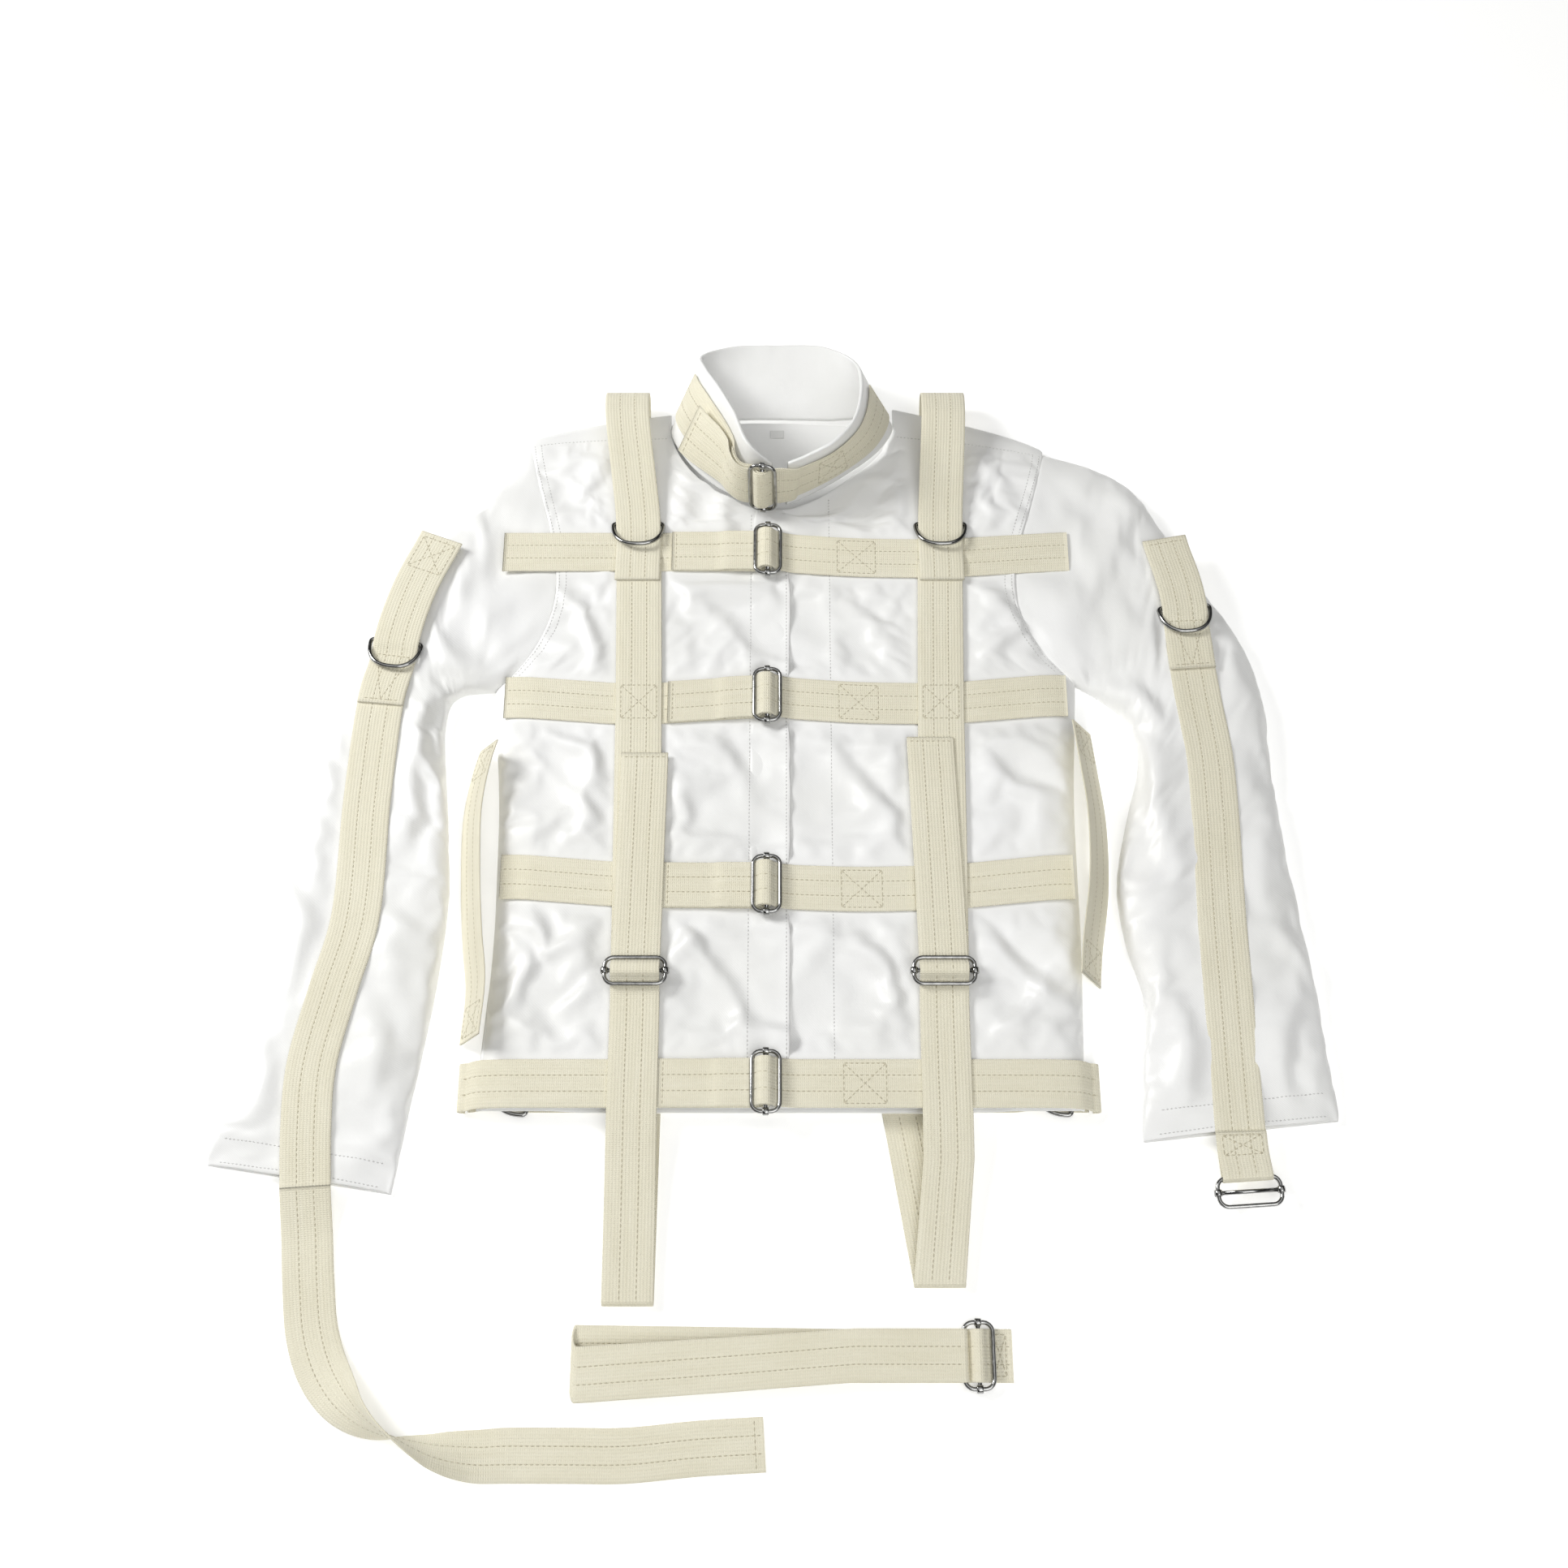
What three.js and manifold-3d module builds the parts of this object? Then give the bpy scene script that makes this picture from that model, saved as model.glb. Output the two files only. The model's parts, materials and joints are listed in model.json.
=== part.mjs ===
// A long-sleeved webbing-harness jacket lying flat: cloth body and sleeves, a standing collar,
// four buckled belts, two harness bands with crotch straps, sleeve straps and a loose belt.
// Millimetres, +Z up, +X to the right of the laid-out jacket, +Y from the hem to the collar.
import * as THREE from "three";
import Module from "manifold-3d";
import { mergeVertices } from "three/addons/utils/BufferGeometryUtils.js";

const wasm = await Module();
wasm.setup();

// ---- Driving sizes ----
const CHEST_WIDTH = 490; // side seam to side seam, laid flat
const BODY_LENGTH = 640; // hem to shoulder line
const CLOTH = 1.6; // one cloth panel, lining and facing included
const COLLAR_THICK = 2.2;
const TORSO_TOP = 17; // top of the front cloth above the floor
const SLEEVE_TOP = 22; // top of a laid sleeve
const CUFF_TOP = 12;
const WEB_WIDTH = 40;
const WEB = 1.6; // webbing thickness
const WIRE = 3.5; // buckle wire diameter
const BUCKLE_SPAN = 49.5; // end wire to end wire, across the webbing
const BUCKLE_DEPTH = 22.5; // side bar to side bar, along the webbing
const BUCKLE_CORNER = 5;
const BAR_EYE_LENGTH = 5;
const BAR_EYE_WALL = 1.2;
const RING_WIRE = 3.8;
const RING_SPAN = 45.4; // D-ring leg to leg, wire centres
const RING_DEPTH = 27; // straight bar to the far rim, wire centres
const GAP = 0.3; // clearance between touching pieces
const SEWN_FOLD = 36; // sewn length of a folded strap end
const TAIL_REACH = 86; // belt tail beyond its buckle

// ---- Levels, from the sizes above ----
const LAYER = WEB + GAP;
const BACK_LOW = LAYER; // the back panel lies on the straps behind it
const EDGE_TOP = BACK_LOW + CLOTH + GAP + CLOTH; // front cloth where it meets the back
const BELT_LOW = TORSO_TOP + GAP;
const BAND_LOW = BELT_LOW + LAYER; // harness bands cross over the belts
const SLEEVE_STRAP_LOW = SLEEVE_TOP + 2 * GAP;
const WRAP = WIRE / 2 + GAP + WEB / 2; // webbing centreline round a buckle bar
const EYE_INNER = WIRE / 2 + GAP;

// The layout was drawn for this chest width and body length; the rest follows them.
const DRAWN_CHEST = 490;
const DRAWN_LENGTH = 640;
const SX = CHEST_WIDTH / DRAWN_CHEST;
const SY = BODY_LENGTH / DRAWN_LENGTH;

// ---- Finishes ----
const finish = (color, roughness, metalness) => new THREE.MeshStandardMaterial({ color, roughness, metalness });
const CLOTH_WHITE = finish(0xf2f2ef, 0.7, 0);
const WEB_CREAM = finish(0xe9e3cc, 0.85, 0);
const NICKEL = finish(0xc9cbcd, 0.18, 1);

// ---- Small helpers ----
const lerp = (a, b, t) => a + (b - a) * t;
const mix = (p, q, t) => p.map((value, i) => lerp(value, q[i], t));
const range = (n) => Array.from({ length: n }, (_, i) => i);
const steps = (a, b, n) => range(n + 1).map((i) => lerp(a, b, i / n));
const place = ([x, y]) => [x * SX, y * SY];

// A value read off [position, value] pairs in rising order of position.
function along(pairs, at) {
  const i = Math.max(1, pairs.findIndex(([p]) => p >= at));
  if (at > pairs[pairs.length - 1][0]) return pairs[pairs.length - 1][1];
  const [[a, va], [b, vb]] = [pairs[i - 1], pairs[i]];
  return lerp(va, vb, Math.min(1, Math.max(0, (at - a) / (b - a))));
}

function smoothLine(points, closed = false) {
  const vectors = points.map((p) => new THREE.Vector3(p[0], p[1], p[2] ?? 0));
  return new THREE.CatmullRomCurve3(vectors, closed, "centripetal");
}

// ---- Solids from sections ----
// Each section is a loop of points: a forward line, then a line back under it.
function loft(sections, closed = false) {
  const n = sections[0].length;
  const positions = sections.flat(2);
  const index = [];
  const quad = (a, b, c, d) => index.push(a, b, c, a, c, d);
  const last = closed ? sections.length : sections.length - 1;
  for (let s = 0; s < last; s++) {
    const near = s * n;
    const far = ((s + 1) % sections.length) * n;
    for (let k = 0; k < n; k++) quad(near + k, near + ((k + 1) % n), far + ((k + 1) % n), far + k);
  }
  if (!closed) {
    const end = (sections.length - 1) * n;
    for (let k = 0; k < n / 2 - 1; k++) {
      quad(k + 1, k, n - 1 - k, n - 2 - k);
      quad(end + k, end + k + 1, end + n - 2 - k, end + n - 1 - k);
    }
  }
  return outward(positions, index);
}

function outward(positions, index) {
  let volume = 0;
  const corner = (i) => new THREE.Vector3().fromArray(positions, 3 * i);
  for (let t = 0; t < index.length; t += 3) {
    const [a, b, c] = [corner(index[t]), corner(index[t + 1]), corner(index[t + 2])];
    volume += a.dot(b.cross(c));
  }
  if (volume < 0) index.reverse();
  const geometry = new THREE.BufferGeometry();
  geometry.setAttribute("position", new THREE.Float32BufferAttribute(positions, 3));
  geometry.setIndex(index);
  geometry.computeVertexNormals();
  return geometry;
}

// A sheet of cloth: rows of top points, thickened downwards.
function sheet(rows, thick = CLOTH) {
  const under = ([x, y, z]) => [x, y, z - thick];
  return loft(rows.map((row) => [...row, ...[...row].reverse().map(under)]));
}

// A strap: its side profile is a line of [along, height] pairs at mid thickness, and `lay`
// takes (along, height, across) to a point, with across from -0.5 to 0.5 of its width.
function strap(profile, lay) {
  const sections = profile.map((p, i) => {
    const before = profile[Math.max(0, i - 1)];
    const after = profile[Math.min(profile.length - 1, i + 1)];
    const into = unit([p[0] - before[0], p[1] - before[1]], [after[0] - p[0], after[1] - p[1]]);
    const out = unit([after[0] - p[0], after[1] - p[1]], into);
    const miter = unit([into[0] + out[0], into[1] + out[1]], into);
    const half = WEB / 2 / Math.max(0.5, miter[0] * into[0] + miter[1] * into[1]);
    const [na, nh] = [-miter[1] * half, miter[0] * half];
    const face = (sign, across) => lay(p[0] + sign * na, p[1] + sign * nh, across);
    return [face(1, -0.5), face(1, 0.5), face(-1, 0.5), face(-1, -0.5)];
  });
  return loft(sections);
}

function unit(v, fallback) {
  const length = Math.hypot(v[0], v[1]);
  return length > 1e-9 ? [v[0] / length, v[1] / length] : unit(fallback, [1, 0]);
}

// Round a slide buckle both straps pass under the frame's side bars. The fixed strap is folded
// round the centre bar; the other comes from the far side, over it, and lies on it as a tail.
const STACK = 3 * LAYER; // two layers of the fixed strap and the tail, under one side bar
const BAR_HEIGHT = STACK + WIRE / 2; // frame and bar centres above the lowest strap's underside
const BAR_ON_WEB = LAYER + WIRE / 2; // the same where only one layer lies under the bar
const TURN_STEPS = 7;
const TURN_START = -1.17; // angle at which the fixed strap meets its turn, from straight ahead
const SLOT_FLAT = 4; // the bar slides this far in the fold, less the wire's clearance
const SLOT_REACH = 8.6; // from the bar to where the fixed strap's layers part
const SLOT_SLOPE = Math.atan2(STACK - LAYER / 2 + WRAP, SLOT_REACH - SLOT_FLAT);
const OUTER_WRAP = WRAP + LAYER;
const OUTER_STEP = LAYER * Math.tan(SLOT_SLOPE / 2); // the tail's corners beyond the fold's
const LIFT_START = 22; // where the threaded strap leaves the cloth, before the bar

// An arc about the bar, from one angle to another, measured from the direction `way`.
function roundBar(bar, height, way, radius, from, to) {
  return steps(from, to, TURN_STEPS).map((angle) =>
    [bar + way * radius * Math.cos(angle), height + radius * Math.sin(angle)]);
}

// The flat run of a strap; `near` lists extra stations, as distances from the start.
function flatRun(start, end, height, { run, near }) {
  const way = Math.sign(end - start);
  const ends = near.slice(0, -1).map((d) => [start + way * d, height]);
  return [...ends, ...steps(start + way * near[near.length - 1], end, run).map((a) => [a, height])];
}

// The fixed strap: from `start` to the bar, round it, and back on itself for SEWN_FOLD.
function foldedRound({ start, bar, low, run = 6, near = [0] }) {
  const way = Math.sign(bar - start);
  const mid = low + WEB / 2;
  const height = low + BAR_HEIGHT;
  const parting = bar - way * SLOT_REACH;
  return [
    ...flatRun(start, parting, mid, { run, near }),
    ...roundBar(bar, height, way, WRAP, TURN_START, Math.PI / 2),
    [bar - way * SLOT_FLAT, height + WRAP],
    [parting, mid + LAYER],
    [bar - way * SEWN_FOLD, mid + LAYER],
  ];
}

// The threaded strap: from `start` under the near side bar, over the centre bar and the fixed
// strap's fold, under the far side bar, and down onto the fixed strap to `tail`.
function threadedOver({ start, bar, low, tail, run = 6, near = [0] }) {
  const way = Math.sign(bar - start);
  const mid = low + WEB / 2;
  const upper = mid + 2 * LAYER;
  const height = low + BAR_HEIGHT;
  const beyond = bar + way * (SEWN_FOLD + 8);
  return [
    ...flatRun(start, bar - way * LIFT_START, mid, { run, near }),
    [bar - way * (OUTER_WRAP * Math.SQRT2 + WEB), upper],
    ...roundBar(bar, height, -way, OUTER_WRAP, Math.PI / 4, Math.PI / 2),
    [bar + way * (SLOT_FLAT + OUTER_STEP), height + OUTER_WRAP],
    [bar + way * (SLOT_REACH + OUTER_STEP), upper],
    [bar + way * (SEWN_FOLD + 2), upper],
    ...steps(beyond, tail, Math.max(1, Math.round(run / 2))).map((a) => [a, mid + LAYER]),
  ];
}

// A strap's end folded round the first bar it meets, and back on itself to `tail`.
function foldedEnd({ start, bar, tail, run }) {
  const mid = WEB / 2;
  const down = bar - WIRE - 14;
  return [
    ...steps(start, bar, run).slice(0, -1).map((a) => [a, mid]),
    ...roundBar(bar, mid + WRAP, 1, WRAP, -Math.PI / 2, Math.PI / 2),
    [bar - WIRE, mid + 2 * WRAP],
    [down, mid + LAYER],
    [tail, mid + LAYER],
  ];
}

// ---- Wire goods ----
// A closed loop of wire along a flat outline, as sections of a round rod.
function wireLoop(outline, radius, sides = 6) {
  const count = outline.length;
  const sections = outline.map((p, i) => {
    const before = outline[(i + count - 1) % count];
    const after = outline[(i + 1) % count];
    const into = unit([p[0] - before[0], p[1] - before[1]], [1, 0]);
    const out = unit([after[0] - p[0], after[1] - p[1]], into);
    const miter = unit([into[0] + out[0], into[1] + out[1]], into);
    const stretch = 1 / Math.max(0.6, miter[0] * into[0] + miter[1] * into[1]);
    return range(sides).map((k) => {
      const angle = (2 * Math.PI * (k + 0.5)) / sides;
      const aside = radius * Math.cos(angle) * stretch;
      return [p[0] - miter[1] * aside, p[1] + miter[0] * aside, radius * Math.sin(angle)];
    });
  });
  return loft(sections, true);
}

// The slide buckle's frame: long sides across the webbing (local Y), short ends along it.
function buckleFrame() {
  const [hx, hy] = [BUCKLE_DEPTH / 2, BUCKLE_SPAN / 2];
  const corners = [[1, 1, 0], [-1, 1, 1], [-1, -1, 2], [1, -1, 3]];
  const outline = corners.flatMap(([sx, sy, quarter]) =>
    steps(0, 1, 3).map((t) => {
      const angle = ((quarter + t) * Math.PI) / 2;
      const cx = sx * (hx - BUCKLE_CORNER);
      const cy = sy * (hy - BUCKLE_CORNER);
      return [cx + BUCKLE_CORNER * Math.cos(angle), cy + BUCKLE_CORNER * Math.sin(angle)];
    }),
  );
  return wireLoop(outline, WIRE / 2);
}

function solid(geometry) {
  const bare = new THREE.BufferGeometry();
  bare.setAttribute("position", geometry.getAttribute("position"));
  if (geometry.index) bare.setIndex(geometry.index);
  const merged = mergeVertices(bare, 1e-4);
  const vertProperties = new Float32Array(merged.getAttribute("position").array);
  const triVerts = new Uint32Array(merged.index.array);
  return new wasm.Manifold(new wasm.Mesh({ numProp: 3, vertProperties, triVerts }));
}

function fromSolid(body) {
  const mesh = body.getMesh();
  return outward([...mesh.vertProperties], [...mesh.triVerts]);
}

// The buckle's centre bar: a rod across the webbing with an eye round each end wire.
function buckleBar() {
  const outer = EYE_INNER + BAR_EYE_WALL;
  const half = BAR_EYE_LENGTH / 2;
  const ring = [[EYE_INNER, -half], [outer, -half], [outer, half], [EYE_INNER, half], [EYE_INNER, -half]];
  const eye = () => new THREE.LatheGeometry(ring.map(([r, y]) => new THREE.Vector2(r, y)), 9);
  const rodLength = BUCKLE_SPAN - 2 * (EYE_INNER + BAR_EYE_WALL / 2);
  let bar = solid(new THREE.CylinderGeometry(WIRE / 2, WIRE / 2, rodLength, 8));
  for (const side of [-1, 1]) {
    const placed = eye().rotateZ(Math.PI / 2).translate(0, (side * BUCKLE_SPAN) / 2, 0);
    bar = bar.add(solid(placed));
  }
  return fromSolid(bar);
}

// A D-ring: straight bar along local X at the origin, rim towards local -Y.
function dRing() {
  const half = RING_SPAN / 2;
  const rim = steps(0, Math.PI, 12).map((angle) => {
    const swell = (v) => Math.sign(v) * Math.abs(v) ** 0.82;
    return [half * swell(Math.cos(angle)), -RING_DEPTH * swell(Math.sin(angle))];
  });
  return wireLoop(rim.reverse(), RING_WIRE / 2);
}

// ---- Assembly ----
const jacket = new THREE.Group();
jacket.name = "harness_jacket";

function add(name, geometry, material) {
  const mesh = new THREE.Mesh(geometry, material);
  mesh.name = name;
  jacket.add(mesh);
  return mesh;
}

// Puts a piece at a centre, turned so that its local X and Y follow the two directions.
function pose(mesh, centre, xDirection, yDirection) {
  const x = new THREE.Vector3(...xDirection).normalize();
  const z = x.clone().cross(new THREE.Vector3(...yDirection)).normalize();
  const y = z.clone().cross(x);
  mesh.quaternion.setFromRotationMatrix(new THREE.Matrix4().makeBasis(x, y, z));
  mesh.position.set(...centre);
}

function addBuckle(name, centre, xDirection, yDirection) {
  pose(add(`${name}_frame`, buckleFrame(), NICKEL), centre, xDirection, yDirection);
  pose(add(`${name}_bar`, buckleBar(), NICKEL), centre, xDirection, yDirection);
}

// ---- Outlines of the laid jacket ----
const HEM = -252;
const SIDES = {
  left: {
    out: -1,
    tip: [-227, 385],
    pit: [-247, 125],
    waist: [[HEM, -240], [-110, -233], [20, -236], [125, -247]],
  },
  right: {
    out: 1,
    tip: [245, 373],
    pit: [261, 134],
    waist: [[HEM, 245], [-110, 251], [20, 252], [134, 261]],
  },
};
const ARMHOLE_BOW = 43;

// The armhole seam, from the shoulder tip (0) to the armpit (1).
function armhole(side, t, outset = 0) {
  const [x, y] = mix(side.tip, side.pit, t);
  const bow = ARMHOLE_BOW * Math.sin(Math.PI * t ** 1.6) ** 0.8;
  return [x - side.out * (t > 0 && t < 1 ? bow : 0) + side.out * outset, y];
}

const BODY_ROWS = 6;
const ARMHOLE_ROWS = 7;
// The outer edge of a body panel, hem to shoulder tip.
function outerEdge(side) {
  const sideSeam = steps(HEM, side.pit[1], BODY_ROWS).map((y) => [along(side.waist, y), y]);
  const armSeam = steps(1, 0, ARMHOLE_ROWS).slice(1).map((t) => armhole(side, t));
  return [...sideSeam, ...armSeam];
}
// Height of the front cloth along that edge.
const edgeHeights = [
  ...range(BODY_ROWS + 1).map(() => EDGE_TOP),
  ...steps(1, 0, ARMHOLE_ROWS).slice(1).map((t) => lerp(EDGE_TOP, TORSO_TOP, Math.sin(Math.PI * t) ** 0.5)),
];
// How far inside the edge the cloth has risen by how much of its height.
const RISE = [[0, 0], [4, 0.4], [10, 0.68], [20, 0.9], [34, 1]];
const SHOULDER_DROP = 6;

// ---- Body panels ----
// The cloth rises at the hem where the two rear rings lie on the hem belt beneath it.
const HEM_BELT_Y = -232;
const REAR_RINGS = [-199, 236].map((x) => x * SX);
const RING_RISE = RING_WIRE + RING_WIRE / 3 + GAP / 2;
const HUMP = [[-RING_DEPTH - 40, 0], [-RING_DEPTH - 20, 1], [20, 1], [42, 0]];
const HEM_RISE_END = [[HEM + 66, 1], [HEM + 130, 0]];
function hemRise(x, y) {
  return RING_RISE * along(HEM_RISE_END, y / SY) * Math.max(...REAR_RINGS.map((bar) => along(HUMP, x - bar)));
}

function frontPanel(side, closing, neck, top) {
  const outer = outerEdge(side);
  const neckRows = neck.length;
  const inner = outer.map(([, y], i) => {
    const fromTop = outer.length - 1 - i;
    if (fromTop < neckRows) return neck[neckRows - 1 - fromTop];
    return [closing, Math.min(y, neck[0][1] - 4 * (fromTop - neckRows + 1))];
  });
  const rows = outer.map((edge, i) => {
    const [a, b] = [edge, inner[i]];
    const width = Math.hypot(b[0] - a[0], b[1] - a[1]);
    const stops = [...RISE.map(([d]) => d / width), ...steps(34 / width, 1, 6).slice(1)];
    const shoulder = SHOULDER_DROP * along([[outer.length - 3, 0], [outer.length - 2, 1 / 3], [outer.length - 1, 1]], i);
    return stops.map((t) => {
      const height = lerp(edgeHeights[i], top - shoulder, along(RISE, t * width));
      const [x, y] = place(mix(a, b, t));
      const rise = hemRise(x, y) * (1 + (3 * GAP) / RING_RISE);
      return [x, y, Math.max(height, EDGE_TOP + rise)];
    });
  });
  return sheet(rows);
}
const CLOSING_EDGE = 11; // free edge of the upper front panel
const UNDERLAP = 33; // how far the lower front panel runs beneath it
const LEFT_NECK = [[CLOSING_EDGE, 306], [-26, 312], [-64, 334], [-89, 364], [-98, 392]];
const RIGHT_NECK = [[CLOSING_EDGE - UNDERLAP, 308], [14, 312], [58, 336], [92, 368], [107, 396]];
const leftPanel = frontPanel(SIDES.left, CLOSING_EDGE, LEFT_NECK, TORSO_TOP);
const rightPanel = frontPanel(SIDES.right, CLOSING_EDGE - UNDERLAP, RIGHT_NECK, TORSO_TOP - LAYER);
add("front_left_panel", leftPanel, CLOTH_WHITE);
add("front_right_panel", rightPanel, CLOTH_WHITE);

const SHOULDER_ARCH = 30;
function backPanel() {
  const left = outerEdge(SIDES.left);
  const right = outerEdge(SIDES.right);
  const rows = left.map((edge, i) => {
    const nearTop = along([[left.length - 4, 0], [left.length - 1, 1]], i);
    return steps(0, 1, 22).map((t) => {
      const [x, y] = place(mix(edge, right[i], t));
      const arch = SHOULDER_ARCH * nearTop * Math.sin(Math.PI * t) ** 0.6;
      return [x, y + arch, BACK_LOW + CLOTH + hemRise(x, y)];
    });
  });
  return sheet(rows);
}
add("back_panel", backPanel(), CLOTH_WHITE);

// ---- Sleeves: flattened tubes, open at the armhole and the cuff ----
const SLEEVES = {
  left: {
    side: SIDES.left,
    outer: [[-264, 317], [-302, 279], [-332, 228], [-358, 168], [-373, 126], [-388, 60], [-401, -5], [-414, -68],
      [-427, -169], [-441, -260], [-448, -295]],
    inner: [[-260, 124], [-273, 122], [-283, 114], [-287, 88], [-285, 59], [-280, 15], [-276, -30], [-273, -68],
      [-278, -150], [-292, -250], [-301, -318]],
  },
  right: {
    side: SIDES.right,
    outer: [[285, 356], [320, 332], [348, 287], [379, 226], [405, 175], [421, 120], [423, 40], [428, -30],
      [436, -122], [443, -205], [447, -259]],
    inner: [[274, 125], [290, 112], [305, 97], [312, 72], [310, 45], [300, 9], [286, -57], [289, -105],
      [301, -160], [296, -215], [292, -276]],
  },
};
const SLEEVE_EDGE = 2 * CLOTH + GAP;
const SEAM_OUTSET = 3;

function sleeveHeight(row, rows) {
  const seam = TORSO_TOP - GAP;
  return along([[0, seam], [1, seam], [3, SLEEVE_TOP], [rows - 3, SLEEVE_TOP], [rows - 1, CUFF_TOP]], row);
}

function sleeve({ side, outer, inner }) {
  const rowCount = outer.length + 1;
  const at = (row, t) => {
    if (row === 0) return place(armhole(side, t, SEAM_OUTSET));
    const [x, y] = mix(outer[row - 1], inner[row - 1], t);
    const bow = row === 1 ? 0.35 * ARMHOLE_BOW * Math.sin(Math.PI * t) : 0;
    return place([x - side.out * bow, y]);
  };
  const crown = (t) => (1 - Math.abs(2 * t - 1) ** 3) ** (1 / 3);
  const span = (row) => Math.hypot(at(row, 0)[0] - at(row, 1)[0], at(row, 0)[1] - at(row, 1)[1]);
  const line = (t, upper, inset) => range(rowCount).map((row) => {
    const shrink = inset / span(row);
    const [x, y] = at(row, lerp(shrink, 1 - shrink, t));
    const top = lerp(SLEEVE_EDGE, sleeveHeight(row, rowCount), crown(t));
    return [x, y, upper ? top - inset : inset];
  });
  const stops = steps(0, 1, 9);
  const around = [...stops.map((t) => [t, true]), ...[...stops].reverse().map((t) => [t, false])];
  return loft(around.map(([t, upper]) => [...line(t, upper, 0), ...line(t, upper, CLOTH).reverse()]), true);
}
add("sleeve_left", sleeve(SLEEVES.left), CLOTH_WHITE);
add("sleeve_right", sleeve(SLEEVES.right), CLOTH_WHITE);

// ---- Collar ----
// Base and top edges, from the front left end round the back to the front right end.
const COLLAR_BASE = [[-2, 309, 18], [-28, 314, 18], [-64, 337, 17.6], [-88, 367, 16], [-97, 393, 13], [-85, 409, 8],
  [-45, 411, 5], [0, 411, 5], [50, 410, 5], [92, 409, 8], [106, 397, 13], [93, 370, 16], [58, 340, 17.6],
  [22, 317, 18], [8, 310, 18]];
const COLLAR_TOP = [[-4, 322, 66], [-25, 334, 82], [-38, 371, 78], [-52, 403, 70], [-64, 432, 56], [-69, 455, 45],
  [-44, 471, 37], [0, 475, 34], [44, 471, 37], [70, 452, 42], [76, 420, 56], [68, 362, 76], [49, 336, 80],
  [30, 328, 74], [10, 323, 67]];
const COLLAR_LAST = COLLAR_BASE.length - 1;
// The collar's front stands on the front panels and follows their height; its back doesn't.
const DRAWN_TOP = 17;
const collarLift = COLLAR_BASE.map(([, , z]) => (TORSO_TOP - DRAWN_TOP) * along([[5, 0], [13, 1]], z));
const lifted = (points) => points.map(([x, y, z], i) => [...place([x, y]), z + collarLift[i]]);
const baseLine = smoothLine(lifted(COLLAR_BASE));
const topLine = smoothLine(lifted(COLLAR_TOP));

// A point of the collar: s runs along it (0 to COLLAR_LAST), up from 0 at the base to 1.
function collarPoint(s, up, off) {
  const spot = (t) => baseLine.getPoint(t).lerp(topLine.getPoint(t), up);
  const t = Math.min(1, Math.max(0, s / COLLAR_LAST));
  const step = 0.01;
  const tangent = spot(Math.min(1, t + step)).sub(spot(Math.max(0, t - step))).normalize();
  const rise = topLine.getPoint(t).sub(baseLine.getPoint(t)).normalize();
  const out = rise.cross(tangent).normalize();
  return spot(t).addScaledVector(out, off).toArray();
}

// The band faces outwards on the side away from the neck.
const neckMiddle = new THREE.Vector3(...place([5, 385]), 40);
const OUTWARDS = (() => {
  const near = new THREE.Vector3(...collarPoint(3, 0.5, 0)).distanceTo(neckMiddle);
  const far = new THREE.Vector3(...collarPoint(3, 0.5, 1)).distanceTo(neckMiddle);
  return Math.sign(far - near);
})();

function collarBand() {
  const stops = steps(0, COLLAR_LAST, 36);
  return loft(stops.map((s) => {
    const rise = steps(0, 1, 2);
    const outer = rise.map((up) => collarPoint(s, up, OUTWARDS * COLLAR_THICK));
    const inner = [...rise].reverse().map((up) => collarPoint(s, up, 0));
    return [...outer, ...inner];
  }));
}
add("collar", collarBand(), CLOTH_WHITE);

// Straps lie on the outside of the collar. Along is a length from its front left end, negative
// on the right side of the front gap. Near the buckle they lie in the buckle's own flat plane.
const COLLAR_LENGTH = baseLine.getLength();
const FRONT_GAP = 8;
const STRAP_RISE = 0.52; // middle of the strap up the collar
const COLLAR_HEIGHT = 64;
const COLLAR_GAP = 1.2; // the strap bridges the collar's curves
const COLLAR_BUCKLE = 12; // buckle middle, along from the collar's front left end
const COLLAR_FLAT = [[16, 1], [40, 0]]; // share of the flat plane by distance from the buckle
function onCollar(a, h, across) {
  const length = a > -FRONT_GAP / 2 ? a : COLLAR_LENGTH + a + FRONT_GAP;
  return collarPoint((length / COLLAR_LENGTH) * COLLAR_LAST, STRAP_RISE + (across * WEB_WIDTH) / COLLAR_HEIGHT,
    OUTWARDS * (COLLAR_THICK + COLLAR_GAP + h));
}
const vector = (p) => new THREE.Vector3(...p);
const BUCKLE_SPOT = vector(onCollar(COLLAR_BUCKLE, 0, 0));
const BUCKLE_UP = vector(onCollar(COLLAR_BUCKLE, 0, 0.4)).sub(vector(onCollar(COLLAR_BUCKLE, 0, -0.4))).normalize();
const BUCKLE_OUT = vector(onCollar(COLLAR_BUCKLE, 1, 0)).sub(BUCKLE_SPOT).normalize();
const BUCKLE_ALONG = BUCKLE_UP.clone().cross(BUCKLE_OUT).normalize();
if (BUCKLE_ALONG.x > 0) BUCKLE_ALONG.negate();
function collarLay(a, h, across) {
  const flat = BUCKLE_SPOT.clone().addScaledVector(BUCKLE_ALONG, a - COLLAR_BUCKLE)
    .addScaledVector(BUCKLE_UP, across * WEB_WIDTH).addScaledVector(BUCKLE_OUT, h);
  return mix(onCollar(a, h, across), flat.toArray(), along(COLLAR_FLAT, Math.abs(a - COLLAR_BUCKLE)));
}
const COLLAR_FIXED_END = 150;
const COLLAR_THREADED_END = -132;
const COLLAR_TAIL_END = 98;
const COLLAR_RUN = 22;
const atCollar = { bar: COLLAR_BUCKLE, low: 0, run: COLLAR_RUN };
const collarFixed = foldedRound({ start: COLLAR_FIXED_END, ...atCollar });
add("collar_strap_anchor", strap(collarFixed, collarLay), WEB_CREAM);
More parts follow.
